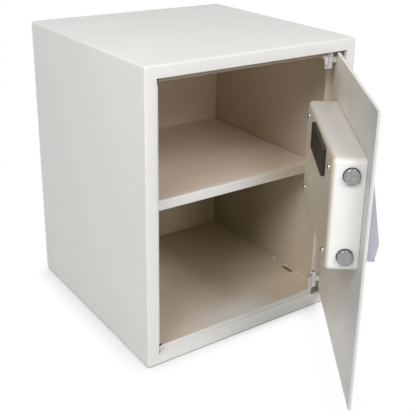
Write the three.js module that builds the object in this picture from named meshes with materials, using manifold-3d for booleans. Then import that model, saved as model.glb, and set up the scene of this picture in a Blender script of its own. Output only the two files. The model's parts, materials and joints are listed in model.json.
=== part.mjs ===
// A free-standing steel safe with a hinged front door, one shelf and a motor-driven electronic lock.
// Millimetres. +X is to the right, -Y is the front and +Z is up. The origin is the middle of the base.
// The door stands open at rest. The front face of the cabinet is y = 0 inside the cabinet group.

import * as THREE from 'three';
import { mergeVertices } from 'three/addons/utils/BufferGeometryUtils.js';
import Module from 'manifold-3d';

// Cabinet: one folded and welded sheet with a rebated door frame
const cabinetHeight = 450;
const cabinetWidth = 370;
const cabinetDepth = 360;
const cabinetSheet = 2;
const cabinetCornerRadius = 4;
const cabinetFrontRadius = 3;
const frameWidth = 18;
const rebateDepth = 9;
const hingeRebateDepth = 6;
const lipHeight = 7;
const lipRelief = 3;
const floorSlotLength = 12;
const floorSlotWidth = 4;
const floorSlotSetback = 115;
const floorSlotInset = 7;

// Back panel with two wall-anchor holes above the shelf
const backInset = 2;
const backSheet = 2;
const backCornerRadius = 3;
const anchorHoleRadius = 5;
const anchorHoleSpacing = 220;
const anchorHoleHeight = 340;

// Shelf and the two angle rails that carry it
const shelfSheet = 2;
const shelfTop = 226;
const shelfSetback = 70;
const shelfFlange = 15.5;
const shelfBendRadius = 1.5;
const shelfSideClearance = 0.5;
const railLeg = 15;
const railSheet = 1.5;
const railEndGap = 12;

// Door plate and how far it stands open
const doorSheet = 4;
const doorGap = 2.4;
const doorHingeGap = 3.8;
const doorCornerRadius = 1.5;
const doorOpenDegrees = 54.5;

// Concealed hinges: two fixed knuckles and one door knuckle on each pin
const hingeInset = 17;
const hingeStandoff = 10;
const knuckleRadius = 5.2;
const knuckleHeight = 8.6;
const knuckleGap = 0.4;
const hingeEndGap = 1;
const lowerHingeRise = 9.5;
const pinRadius = 3;
const pinClearance = 0.2;
const hingeWebSheet = 3;
const hingeWebStem = 11;
const hingeWebLength = 32;
const hingeFillet = 13;
const hingeArmWidth = 6;
const hingeFootWidth = 13;
const hingeFootSheet = 2.5;
const hingeScrewShank = 1.5;
const hingeScrewHead = 2.7;
const hingeScrewHeadHeight = 2;

// Lock cover, a folded steel box on the inside of the door
const coverBottom = 213;
const coverDepth = 42;
const coverSheet = 1.5;
const coverCornerRadius = 8;
const coverEdgeRadius = 6.5;
const coverFreeMargin = 24.8;
const coverBoardMargin = 13;
const coverBoltMargin = 21;
const coverMotorMargin = 2;
const coverScrewInsetX = 22;
const coverScrewInsetZ = 18.5;
const coverScrewHead = 4;
const coverScrewHeadHeight = 2.2;
const coverScrewShank = 2;
const coverScrewLength = 7;
const coverScrewClearance = 0.3;
const coverPostRadius = 5;

// Locking bolts and the rack plate that carries them
const boltRadius = 10.5;
const boltLength = 61;
const boltChamfer = 1.6;
const boltDome = 0.8;
const boltProud = 6;
const boltTravel = 30;
const boltDepth = 18;
const boltSpacing = 108;
const boltClearance = 0.5;
const carriageSheet = 3;
const carriageDepth = 29;
const carriageStemWidth = 12;
const carriageStemInset = 4;
const pegRadius = 4;
const pegLength = 9;
const pegClearance = 0.3;

// Rack, pinion and gear motor
const gearModule = 1.5;
const pinionTeeth = 12;
const pinionFace = 4.4;
const pinionBore = 2.4;
const shaftClearance = 0.15;
const gearBacklash = 0.25;
const rackTeeth = 9;
const pinionSetback = 88;
const rackRise = 0.5;
const rackArmHeight = 16.5;
const gearboxWidth = 30;
const gearboxHeight = 38;
const gearboxDepth = 21;
const gearboxOffset = 6.5;
const gearboxCornerRadius = 4;
const shaftCollarRadius = 5;
const shaftCollarHeight = 2.4;
const motorRadius = 10;
const motorLength = 28;
const motorCapRadius = 4;
const motorCapHeight = 2;

// Guide studs that run in slots of the rack plate
const studRadius = 3;
const studShoulderRadius = 4;
const studHeadRadius = 5.2;
const studHeadHeight = 1.6;
const slotClearance = 0.3;
const lowerArmHeight = 14;
const lowerArmDrop = 38;
const upperSlotRise = 10.5;
const upperStudSetback = 97;
const lowerStudSetback = 93;

// Bolt guide bracket beside the end wall of the cover, and the base plate on the door
const guideSheet = 3;
const guideSetback = 31.2;
const guideFlange = 27;
const guideMargin = 4;
const guideBendRadius = 5;
const basePlateSheet = 2;
const basePlateInset = 8;
const basePlateGap = 7.8;
const basePlateStudMargin = 7.5;
const basePlateMotorMargin = 4.7;
const basePlateRadius = 4;

// Emergency key lock
const keyLockGap = 42;
const keyLockDrop = 20;
const cylinderRadius = 9.5;
const cylinderWall = 2.8;
const cylinderHoleClearance = 0.4;
const cylinderSetback = 2.7;
const cylinderInner = 7.5;
const plugClearance = 0.15;
const keywayWidth = 1.8;
const keywayHeight = 8.6;
const keywayDepth = 12;
const camLength = 24;
const camWidth = 9;
const camSheet = 2.5;
const camSpigotRadius = 3;
const camNutRadius = 5;
const camNutHeight = 2.6;
const lugWidth = 4;
const lugGap = 1;

// Battery holder, four cells in two rows, and the black lid that stands proud of the cover
const cellRadius = 7.15;
const cellLength = 49.2;
const cellNubRadius = 2.7;
const cellNubHeight = 1.2;
const cellsPerRow = 2;
const cellRows = 2;
const cellClearance = 0.35;
const holderWall = 1.4;
const holderRim = 1.5;
const holderRimSheet = 1.6;
const holderEndGap = 0.85;
const holderTopGap = 4.4;
const lidEndMargin = 3.35;
const lidSideMargin = 1.9;
const lidProud = 5;
const lidCornerRadius = 2.5;
const lidEdgeRadius = 1.2;
const lidRibs = 5;
const lidRibWidth = 1.6;
const lidRibDepth = 0.8;
const lidRibPitch = 4;
const lidRibLengthShare = 0.6;
const lidRibPlaceShare = 0.36;

// Control board and its wiring
const boardWidth = 62;
const boardHeight = 62;
const boardSheet = 1.6;
const boardStandoff = 8;
const boardGap = 33;
const boardDrop = 19;
const boardPostRadius = 3;
const boardPostInset = 5;
const chipWidth = 14;
const chipHeight = 18;
const chipDepth = 2.2;
const connectorWidth = 12;
const connectorHeight = 7;
const connectorDepth = 6;
const loomRadius = 1.8;
const loomHoleRadius = 7;
const loomOffset = 2;
const loomRise = 28;
const loomBend = 9;
const loomLevel = 8;
const loomLead = 5;

// Keypad housing, a wedge on the outside of the door
const housingFreeGap = 12;
const housingHingeGap = 16;
const housingTopGap = 14;
const housingTopThickness = 6;
const housingThickness = 25.5;
const housingChinThickness = 22;
const housingChinHeight = 5;
const housingShoulderHeight = 24;
const housingShoulderGap = 10.75;
const housingWall = 2.4;
const housingSideRadius = 3;

// Keys on the sloping face
const keyWidth = 22;
const keyHeight = 15;
const keyRadius = 3;
const keyEdgeRadius = 0.8;
const keyProud = 2;
const keyFlange = 1.2;
const keyFlangeSheet = 1;
const keyClearance = 0.4;
const keyTravel = 1.2;
const keyColumns = 3;
const keyRows = 4;
const keyPitchX = 27;
const keyPitchZ = 20.5;
const keypadSetback = 77;
const keypadRise = 3;
const keypadBoardSheet = 1.2;
const keypadBoardMargin = 4;

// Indicator lenses above the keys
const lensRadius = 2.5;
const lensLength = 4;
const lensProud = 0.7;
const lensSpacing = 16;
const lensGap = 8.75;
const lensClearance = 0.1;
const lensCrownShare = 0.6;
const lensShoulderShare = 0.3;

// Swinging plate over the keyhole
const platePivotRise = 15.5;
const plateDiscRadius = 12;
const plateEarRadius = 5;
const plateSheet = 2.2;
const platePinRadius = 1.8;
const platePinLength = 2;
const plateGap = 0.3;

// Shared working values
const seat = 0.3;
const overrun = 5;
const roundSteps = 20;
const smallRoundSteps = 12;
const filletSteps = 3;
const hexagon = 6;
const screwCrownShare = 0.55;
const screwShoulderShare = 0.6;
const keyFilletSteps = 2;
const loomSteps = 26;
const degree = Math.PI / 180;

const steel = 0xdad7cc;
const beige = () => new THREE.MeshStandardMaterial({ color: steel, roughness: 0.55, metalness: 0.1 });
const chrome = () => new THREE.MeshStandardMaterial({ color: 0xc9cbcc, roughness: 0.12, metalness: 1 });
const zinc = () => new THREE.MeshStandardMaterial({ color: 0xa9abac, roughness: 0.35, metalness: 0.9 });
const blackPlastic = () => new THREE.MeshStandardMaterial({ color: 0x1c1c1d, roughness: 0.6 });
const greyPlastic = () => new THREE.MeshStandardMaterial({ color: 0xc4c3d0, roughness: 0.5 });
const keyPlastic = () => new THREE.MeshStandardMaterial({ color: 0x4a4b57, roughness: 0.5 });
const brass = () => new THREE.MeshStandardMaterial({ color: 0xc2a566, roughness: 0.3, metalness: 1 });
const boardGreen = () => new THREE.MeshStandardMaterial({ color: 0x1f5a3c, roughness: 0.5 });

// Solid modelling helpers
const wasm = await Module();
wasm.setup();

function solid(geometry) {
  const bare = geometry.index ? geometry.toNonIndexed() : geometry.clone();
  bare.deleteAttribute('normal');
  bare.deleteAttribute('uv');
  const merged = mergeVertices(bare, 1e-4);
  const vertProperties = new Float32Array(merged.attributes.position.array);
  const triVerts = new Uint32Array(merged.index.array);
  return new wasm.Manifold(new wasm.Mesh({ numProp: 3, vertProperties, triVerts }));
}

function geometryOf(manifold) {
  const mesh = manifold.getMesh();
  const geometry = new THREE.BufferGeometry();
  geometry.setAttribute('position', new THREE.BufferAttribute(new Float32Array(mesh.vertProperties), 3));
  geometry.setIndex(new THREE.BufferAttribute(new Uint32Array(mesh.triVerts), 1));
  return geometry;
}

function box(x0, x1, y0, y1, z0, z1) {
  const geometry = new THREE.BoxGeometry(Math.abs(x1 - x0), Math.abs(y1 - y0), Math.abs(z1 - z0));
  geometry.translate((x0 + x1) / 2, (y0 + y1) / 2, (z0 + z1) / 2);
  return solid(geometry);
}

// A block about a middle in X and Z, reaching from y0 to y1
function blockY(width, height, x, z, y0, y1) {
  return box(x - width / 2, x + width / 2, y0, y1, z - height / 2, z + height / 2);
}

// A round bar along Y from y0 to y1
function barY(radius, x, z, y0, y1, steps = roundSteps) {
  const geometry = new THREE.CylinderGeometry(radius, radius, Math.abs(y1 - y0), steps);
  geometry.translate(x, (y0 + y1) / 2, z);
  return solid(geometry);
}

// The same for small pins and screw holes, with fewer sides
function smallBarY(radius, x, z, y0, y1) {
  return barY(radius, x, z, y0, y1, smallRoundSteps);
}

// A round bar along Z from z0 to z1
function barZ(radius, x, y, z0, z1, steps = roundSteps) {
  const geometry = new THREE.CylinderGeometry(radius, radius, Math.abs(z1 - z0), steps);
  geometry.rotateX(Math.PI / 2);
  geometry.translate(x, y, (z0 + z1) / 2);
  return solid(geometry);
}

// A round bar along X from x0 to x1
function barX(radius, y, z, x0, x1, steps = roundSteps) {
  const geometry = new THREE.CylinderGeometry(radius, radius, Math.abs(x1 - x0), steps);
  geometry.rotateZ(Math.PI / 2);
  geometry.translate((x0 + x1) / 2, y, z);
  return solid(geometry);
}

function roundedShape(width, height, radius) {
  const w = width / 2;
  const h = height / 2;
  const shape = new THREE.Shape();
  shape.moveTo(-w + radius, -h);
  shape.lineTo(w - radius, -h);
  shape.absarc(w - radius, -h + radius, radius, -Math.PI / 2, 0, false);
  shape.lineTo(w, h - radius);
  shape.absarc(w - radius, h - radius, radius, 0, Math.PI / 2, false);
  shape.lineTo(-w + radius, h);
  shape.absarc(-w + radius, h - radius, radius, Math.PI / 2, Math.PI, false);
  shape.lineTo(-w, -h + radius);
  shape.absarc(-w + radius, -h + radius, radius, Math.PI, Math.PI * 1.5, false);
  return shape;
}

// A slab whose outline is a shape in X and Z, reaching from y0 to y1
function slab(shape, y0, y1, steps = filletSteps) {
  const options = { depth: y1 - y0, bevelEnabled: false, curveSegments: steps };
  const geometry = new THREE.ExtrudeGeometry(shape, options);
  geometry.rotateX(Math.PI / 2);
  geometry.translate(0, y1, 0);
  return solid(geometry);
}

// A block with rounded corners and a rounded edge at its low-Y end, open for cutting at the other
function softBlock(width, height, y0, y1, cornerRadius, edgeRadius, steps = filletSteps) {
  const length = y1 - y0 + overrun;
  const geometry = new THREE.ExtrudeGeometry(roundedShape(width, height, cornerRadius), {
    depth: length,
    bevelEnabled: true,
    bevelThickness: edgeRadius,
    bevelSize: edgeRadius,
    bevelOffset: -edgeRadius,
    bevelSegments: steps,
    curveSegments: steps,
  });
  geometry.rotateX(Math.PI / 2);
  geometry.translate(0, y0 + edgeRadius + length, 0);
  const tail = box(-width, width, y1, y1 + 3 * overrun + edgeRadius, -height, height);
  return solid(geometry).subtract(tail);
}

// A turned part about the Y axis from pairs of radius and place
function turned(pairs, steps = roundSteps) {
  const points = pairs.map(([radius, place]) => new THREE.Vector2(radius, place));
  return solid(new THREE.LatheGeometry(points, steps));
}

// A pan-head screw along Y: the head's seat is at zero, the head is above it and the shank below
function panScrew(headRadius, headHeight, shankRadius, shankLength) {
  const crown = headRadius * screwCrownShare;
  const shoulder = headHeight * screwShoulderShare;
  const outline = [
    [0, -shankLength],
    [shankRadius, -shankLength],
    [shankRadius, 0],
    [headRadius, 0],
    [headRadius, shoulder],
    [crown, headHeight],
    [0, headHeight],
  ];
  return turned(outline, smallRoundSteps);
}

function named(name, shape, material) {
  const mesh = new THREE.Mesh(geometryOf(shape), material);
  mesh.name = name;
  return mesh;
}

// Places worked out from the driving dimensions
const frontY = -cabinetDepth / 2;
const halfWidth = cabinetWidth / 2;
const openingHalf = halfWidth - frameWidth;
const openingBottom = frameWidth;
const openingTop = cabinetHeight - frameWidth;
const lipBack = rebateDepth + cabinetSheet;
const pivotX = openingHalf - doorHingeGap - hingeInset;
const pivotY = doorSheet + hingeStandoff;
const doorWidth = openingHalf * 2 - doorGap - doorHingeGap;
const doorBottom = openingBottom + doorGap;
const doorTop = openingTop - doorGap;
const barrelHeight = 3 * knuckleHeight + 2 * knuckleGap;
const bottomBarrelBase = openingBottom + hingeEndGap + lowerHingeRise;
const topBarrelBase = openingTop - hingeEndGap - barrelHeight;

const safe = new THREE.Group();
const cabinet = new THREE.Group();
cabinet.position.y = frontY;
safe.add(cabinet);

// Cabinet shell: a rounded box, its cavity, the door opening, the rebate and the stop lips
function cabinetShell() {
  const middle = cabinetHeight / 2;
  const corner = cabinetCornerRadius;
  const edge = cabinetFrontRadius;
  const outer = softBlock(cabinetWidth, cabinetHeight, 0, cabinetDepth, corner, edge);
  const innerWidth = cabinetWidth - 2 * cabinetSheet;
  const innerHeight = cabinetHeight - 2 * cabinetSheet;
  const innerCorner = corner - cabinetSheet;
  const innerEdge = edge - cabinetSheet;
  const reach = cabinetDepth + overrun;
  const inner = softBlock(innerWidth, innerHeight, cabinetSheet, reach, innerCorner, innerEdge);
  const behind = cabinetSheet + overrun;
  const opening = box(-openingHalf, openingHalf, -overrun, behind, openingBottom, openingTop);
  let shell = outer.subtract(inner).translate([0, 0, middle]).subtract(opening);

  const half = cabinetSheet / 2;
  const low = openingBottom - cabinetSheet;
  const high = openingTop + cabinetSheet;
  const outside = openingHalf + cabinetSheet;
  const lipLeft = -openingHalf + lipRelief;
  const lipRight = pivotX - knuckleRadius - lipRelief;
  const strips = [
    box(-outside, outside, half, lipBack, low, openingBottom),
    box(-outside, outside, half, lipBack, openingTop, high),
    box(-outside, -openingHalf, half, lipBack, low, high),
    box(openingHalf, outside, half, hingeRebateDepth, low, high),
    box(lipLeft, lipRight, rebateDepth, lipBack, low, openingBottom + lipHeight),
    box(lipLeft, lipRight, rebateDepth, lipBack, openingTop - lipHeight, high),
  ];
  const sideLip = openingBottom + lipHeight + lipRelief;
  const sideLipTop = openingTop - lipHeight - lipRelief;
  strips.push(box(-outside, lipHeight - openingHalf, rebateDepth, lipBack, sideLip, sideLipTop));
  for (const strip of strips) {
    shell = shell.add(strip);
  }
  const slotX = halfWidth - cabinetSheet - floorSlotInset;
  const slotEnd = floorSlotSetback + floorSlotLength;
  const slotHalf = floorSlotWidth / 2;
  const slot = box(slotX - slotHalf, slotX + slotHalf, floorSlotSetback, slotEnd, -overrun, behind);
  return shell.subtract(slot);
}
cabinet.add(named('cabinet_shell', cabinetShell(), beige()));

// Back panel, welded inside the rear rim of the shell
function backPanel() {
  const width = cabinetWidth - 2 * cabinetSheet;
  const height = cabinetHeight - 2 * cabinetSheet;
  const rear = cabinetDepth - backInset;
  const shape = roundedShape(width, height, backCornerRadius);
  let panel = slab(shape, rear - backSheet, rear).translate([0, 0, cabinetHeight / 2]);
  for (const side of [-1, 1]) {
    const x = (side * anchorHoleSpacing) / 2;
    const front = rear - backSheet - overrun;
    panel = panel.subtract(barY(anchorHoleRadius, x, anchorHoleHeight, front, rear + overrun));
  }
  return panel;
}
cabinet.add(named('back_panel', backPanel(), beige()));

// Shelf with a folded front flange, resting on two angle rails welded to the side walls
const shelfRear = cabinetDepth - backInset - backSheet - shelfSideClearance;
const shelfHalf = halfWidth - cabinetSheet - shelfSideClearance;

function shelf() {
  const r = shelfBendRadius;
  const profile = new THREE.Shape();
  profile.moveTo(shelfSetback, shelfTop - shelfFlange);
  profile.lineTo(shelfSetback + shelfSheet, shelfTop - shelfFlange);
  profile.lineTo(shelfSetback + shelfSheet, shelfTop - shelfSheet);
  profile.lineTo(shelfRear, shelfTop - shelfSheet);
  profile.lineTo(shelfRear, shelfTop);
  profile.lineTo(shelfSetback + r, shelfTop);
  profile.absarc(shelfSetback + r, shelfTop - r, r, Math.PI / 2, Math.PI, false);
  const length = shelfHalf * 2;
  const options = { depth: length, bevelEnabled: false, curveSegments: filletSteps };
  const geometry = new THREE.ExtrudeGeometry(profile, options);
  geometry.rotateX(Math.PI / 2);
  geometry.rotateZ(Math.PI / 2);
  geometry.translate(-length / 2, 0, 0);
  return solid(geometry);
}

function shelfRail(side) {
  const wall = halfWidth - cabinetSheet;
  const top = shelfTop - shelfSheet;
  const front = shelfSetback + shelfSheet + railEndGap;
  const back = shelfRear - railEndGap;
  const seatLeg = box(side * (wall - railLeg), side * wall, front, back, top - railSheet, top);
  const wallLeg = box(side * (wall - railSheet), side * wall, front, back, top - railLeg, top);
  return seatLeg.add(wallLeg);
}
cabinet.add(named('shelf', shelf(), beige()));
cabinet.add(named('shelf_rail_left', shelfRail(-1), beige()));
cabinet.add(named('shelf_rail_right', shelfRail(1), beige()));

// Fixed half of a hinge: a filleted web behind the stop lip with two knuckles.
// It is drawn for the top hinge. The bottom one is its mirror image, a little further from its lip.
const hingeMiddle = cabinetHeight / 2;
const screwY = pivotY - hingeWebSheet / 2;
const stemLeft = pivotX - hingeWebStem;

function hingeBracket(drop) {
  const low = topBarrelBase - drop;
  const web = new THREE.Shape();
  const left = pivotX - hingeWebLength;
  const lipEdge = openingTop - lipHeight;
  web.moveTo(left, lipEdge);
  web.lineTo(stemLeft - hingeFillet, lipEdge);
  web.absarc(stemLeft - hingeFillet, lipEdge - hingeFillet, hingeFillet, Math.PI / 2, 0, true);
  web.lineTo(stemLeft, low);
  web.lineTo(pivotX, low);
  web.lineTo(pivotX, openingTop + cabinetSheet);
  web.lineTo(left, openingTop + cabinetSheet);
  let bracket = slab(web, lipBack, lipBack + hingeWebSheet);

  const midLow = low + knuckleHeight;
  const midHigh = low + 2 * knuckleHeight + 2 * knuckleGap;
  const high = low + barrelHeight;
  bracket = bracket.add(barZ(knuckleRadius, pivotX, pivotY, low, midLow));
  bracket = bracket.add(barZ(knuckleRadius, pivotX, pivotY, midHigh, high));
  const room = knuckleRadius + knuckleGap * 2;
  const front = lipBack - overrun;
  const back = pivotY + overrun;
  bracket = bracket.subtract(box(pivotX - room, pivotX + room, front, back, midLow, midHigh));
  const above = openingTop + cabinetSheet + overrun;
  bracket = bracket.subtract(box(pivotX - room, pivotX + room, front, back, high, above));
  bracket = bracket.subtract(barZ(pinRadius + pinClearance, pivotX, pivotY, low - overrun, high + overrun));
  const hole = hingeScrewShank + pinClearance;
  const screwZ = low + knuckleHeight / 2;
  return bracket.subtract(barX(hole, screwY, screwZ, stemLeft - overrun, pivotX, smallRoundSteps));
}

function hingePin(drop) {
  const low = topBarrelBase - drop;
  return barZ(pinRadius, pivotX, pivotY, low, low + barrelHeight);
}

function hingeScrew(drop) {
  const length = hingeWebStem - pinRadius - 2 * pinClearance;
  const geometry = geometryOf(panScrew(hingeScrewHead, hingeScrewHeadHeight, hingeScrewShank, length));
  geometry.rotateZ(Math.PI / 2);
  geometry.translate(stemLeft, screwY, topBarrelBase - drop + knuckleHeight / 2);
  return solid(geometry);
}

function mirroredDown(shape) {
  return shape.translate([0, 0, -hingeMiddle]).mirror([0, 0, 1]).translate([0, 0, hingeMiddle]);
}
cabinet.add(named('upper_hinge_bracket', hingeBracket(0), beige()));
cabinet.add(named('lower_hinge_bracket', mirroredDown(hingeBracket(lowerHingeRise)), beige()));
cabinet.add(named('upper_hinge_pin', hingePin(0), zinc()));
cabinet.add(named('lower_hinge_pin', mirroredDown(hingePin(lowerHingeRise)), zinc()));
cabinet.add(named('upper_hinge_screw', hingeScrew(0), zinc()));
cabinet.add(named('lower_hinge_screw', mirroredDown(hingeScrew(lowerHingeRise)), zinc()));

// Door assembly, drawn shut and turned open about the hinge pins.
// Across is the distance from the hinge edge of the door, and depth is from its inner face.
const door = new THREE.Group();
door.position.set(pivotX, pivotY, 0);
door.rotation.z = doorOpenDegrees * degree;
cabinet.add(door);

const acrossX = (across) => hingeInset - across;
const depthY = (depth) => depth - hingeStandoff;
const doorInner = depthY(0);
const doorOuter = depthY(-doorSheet);
const coverFreeSide = doorWidth - coverFreeMargin;

// Across: from the free side of the cover inward, each part beside the last
const pinionAcross = coverFreeSide - pinionSetback;
const keyLockAcross = pinionAcross - gearboxWidth / 2 - keyLockGap;
const boardCentreAcross = keyLockAcross - boardGap - boardWidth / 2;
const coverHingeMargin = boardCentreAcross - boardWidth / 2 - coverBoardMargin;
const coverWidth = coverFreeSide - coverHingeMargin;
const basePlateWidth = coverWidth - basePlateInset - guideSetback - basePlateGap;
const boltInner = coverFreeSide + boltProud - boltLength;
const holderWidth = cellsPerRow * (cellLength + cellNubHeight) + 2 * cellClearance + 2 * holderWall;
const batteryCentreAcross = boltInner - holderEndGap - holderWidth / 2;
const keypadAcross = coverFreeSide - keypadSetback;
const loomAcross = keypadAcross - loomOffset;
const keypadHalfWidth = ((keyColumns - 1) * keyPitchX + keyWidth) / 2 + keypadBoardMargin;
const housingFreeSide = keypadAcross + keypadHalfWidth + housingFreeGap;
const housingHingeSide = keyLockAcross - plateDiscRadius - housingHingeGap;
const housingWidth = housingFreeSide - housingHingeSide;
const housingAcross = (housingFreeSide + housingHingeSide) / 2;

// Heights: the cover holds both bolts and the motor below the rack, and the rest follows the bolts
const pitchRadius = (gearModule * pinionTeeth) / 2;
const motorStack = gearboxOffset + gearboxHeight / 2 + seat + motorLength + motorCapHeight;
const motorReach = pitchRadius + motorStack - rackRise;
const boltReach = boltSpacing / 2 + coverBoltMargin;
const coverReach = Math.max(boltReach, motorReach + coverSheet + coverMotorMargin);
const coverHeight = 2 * coverReach;
const coverTop = coverBottom + coverHeight;
const boltCentreHeight = coverBottom + coverReach;
const boltHeights = [boltCentreHeight + boltSpacing / 2, boltCentreHeight - boltSpacing / 2];
const rackHeight = boltCentreHeight + rackRise;
const lowerArmCentre = boltCentreHeight - lowerArmDrop;
const upperSlotCentre = boltCentreHeight + upperSlotRise;
const basePlateTop = upperSlotCentre + basePlateStudMargin;
const basePlateBottom = boltCentreHeight - motorReach - basePlateMotorMargin;
const keyLockHeight = boltCentreHeight - keyLockDrop;
const boardCentreHeight = boltCentreHeight - boardDrop;
const loomHeight = boltCentreHeight + loomRise;
const cellPitch = 2 * (cellRadius + cellClearance);
const holderHeight = cellRows * cellPitch + (cellRows + 1) * holderWall;
const batteryCentreHeight = coverTop - coverSheet - holderTopGap - holderRim - holderHeight / 2;
const keypadHalfHeight = ((keyRows - 1) * keyPitchZ + keyHeight) / 2 + keypadBoardMargin;
const keypadHeight = boltCentreHeight + keypadRise;
const lensHeight = keypadHeight + keypadHalfHeight + lensGap;
const housingTop = lensHeight + housingTopGap;
const shoulder = keypadHeight - keypadHalfHeight - housingShoulderGap;
const housingBottom = shoulder - housingShoulderHeight;

// Places shared by the cover and what it holds
const coverInner = coverDepth - coverSheet;
const coverMiddleAcross = coverHingeMargin + coverWidth / 2;
const coverMiddleHeight = coverBottom + coverHeight / 2;
const screwAcross = [coverHingeMargin + coverScrewInsetX, coverFreeSide - coverScrewInsetX];
const screwHeights = [coverTop - coverScrewInsetZ, coverBottom + coverScrewInsetZ];
const cylinderHole = cylinderRadius + cylinderHoleClearance;
const screwHole = coverScrewShank + coverScrewClearance;

function doorPanel() {
  const shape = roundedShape(doorWidth, doorTop - doorBottom, doorCornerRadius);
  let panel = slab(shape, doorOuter, doorInner);
  panel = panel.translate([acrossX(doorWidth / 2), 0, (doorTop + doorBottom) / 2]);
  const front = doorOuter - overrun;
  const back = doorInner + overrun;
  panel = panel.subtract(barY(cylinderHole, acrossX(keyLockAcross), keyLockHeight, front, back));
  return panel.subtract(barY(loomHoleRadius, acrossX(loomAcross), loomHeight, front, back));
}
door.add(named('door_panel', doorPanel(), beige()));

// Moving half of a hinge: a knuckle on an arm whose foot is welded to the door
function doorKnuckle(base) {
  const low = base + knuckleHeight + knuckleGap;
  const high = low + knuckleHeight;
  const foot = doorInner + seat;
  let knuckle = barZ(knuckleRadius, 0, 0, low, high);
  knuckle = knuckle.add(box(-hingeArmWidth / 2, hingeArmWidth / 2, foot, 0, low, high));
  const footRight = hingeFootWidth - hingeArmWidth / 2;
  knuckle = knuckle.add(box(-hingeArmWidth / 2, footRight, foot, foot + hingeFootSheet, low, high));
  return knuckle.subtract(barZ(pinRadius + pinClearance, 0, 0, low - overrun, high + overrun));
}
door.add(named('upper_door_knuckle', doorKnuckle(topBarrelBase), beige()));
door.add(named('lower_door_knuckle', doorKnuckle(bottomBarrelBase), beige()));

// Lock cover with holes for the bolts, the batteries and its four screws
const holderDepth = cellPitch + holderWall;

function lockCover() {
  const outer = softBlock(coverWidth, coverHeight, 0, coverDepth, coverCornerRadius, coverEdgeRadius);
  const innerWidth = coverWidth - 2 * coverSheet;
  const innerHeight = coverHeight - 2 * coverSheet;
  const innerCorner = coverCornerRadius - coverSheet;
  const innerEdge = coverEdgeRadius - coverSheet;
  const reach = coverDepth + overrun;
  const inner = softBlock(innerWidth, innerHeight, coverSheet, reach, innerCorner, innerEdge);
  let cover = outer.subtract(inner).mirror([0, 1, 0]);
  cover = cover.translate([acrossX(coverMiddleAcross), depthY(coverDepth), coverMiddleHeight]);
  const foot = box(-coverWidth, coverWidth, doorInner - overrun, doorInner + seat, 0, coverTop);
  cover = cover.subtract(foot.translate([acrossX(coverMiddleAcross), 0, 0]));
  for (const height of boltHeights) {
    const x0 = acrossX(coverFreeSide + overrun);
    const x1 = acrossX(coverFreeSide - coverSheet - overrun);
    cover = cover.subtract(barX(boltRadius + boltClearance, depthY(boltDepth), height, x0, x1));
  }
  const low = depthY(coverInner - overrun);
  const high = depthY(coverDepth + overrun);
  for (const across of screwAcross) {
    for (const height of screwHeights) {
      cover = cover.subtract(smallBarY(screwHole, acrossX(across), height, low, high));
    }
  }
  const w = holderWidth + 2 * seat;
  const h = holderHeight + 2 * seat;
  const x = acrossX(batteryCentreAcross);
  return cover.subtract(blockY(w, h, x, batteryCentreHeight, low, high));
}
door.add(named('lock_cover', lockCover(), beige()));

// Cover screws, and the posts under the two screws on the hinge side
for (const [i, across] of screwAcross.entries()) {
  for (const [j, height] of screwHeights.entries()) {
    const screw = panScrew(coverScrewHead, coverScrewHeadHeight, coverScrewShank, coverScrewLength);
    const placed = screw.translate([acrossX(across), depthY(coverDepth + seat), height]);
    door.add(named(`cover_screw_${i * 2 + j + 1}`, placed, chrome()));
  }
}

function coverPost(height) {
  const x = acrossX(screwAcross[0]);
  const top = depthY(coverInner - seat);
  const post = barY(coverPostRadius, x, height, doorInner + seat, top, hexagon);
  const bottom = depthY(coverInner - coverScrewLength - overrun);
  return post.subtract(smallBarY(screwHole, x, height, bottom, top + overrun));
}
door.add(named('cover_post_upper', coverPost(screwHeights[0]), zinc()));
door.add(named('cover_post_lower', coverPost(screwHeights[1]), zinc()));

// Base plate under the lock, with four fused posts for the control board
const boardCorners = [];
for (const sx of [-1, 1]) {
  for (const sz of [-1, 1]) {
    const across = boardCentreAcross + sx * (boardWidth / 2 - boardPostInset);
    const height = boardCentreHeight + sz * (boardHeight / 2 - boardPostInset);
    boardCorners.push([acrossX(across), height]);
  }
}

function basePlate() {
  const height = basePlateTop - basePlateBottom;
  const top = depthY(seat + basePlateSheet);
  const shape = roundedShape(basePlateWidth, height, basePlateRadius);
  let plate = slab(shape, doorInner + seat, top);
  const middle = coverHingeMargin + basePlateInset + basePlateWidth / 2;
  plate = plate.translate([acrossX(middle), 0, (basePlateTop + basePlateBottom) / 2]);
  for (const [x, z] of boardCorners) {
    plate = plate.add(smallBarY(boardPostRadius, x, z, doorInner + seat, depthY(boardStandoff)));
  }
  const postHole = coverPostRadius + coverScrewClearance;
  const postX = acrossX(screwAcross[0]);
  plate = plate.subtract(barY(postHole, postX, screwHeights[1], doorInner - overrun, top + overrun));
  const x = acrossX(keyLockAcross);
  return plate.subtract(barY(cylinderHole, x, keyLockHeight, doorInner - overrun, top + overrun));
}
door.add(named('lock_base_plate', basePlate(), zinc()));

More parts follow.
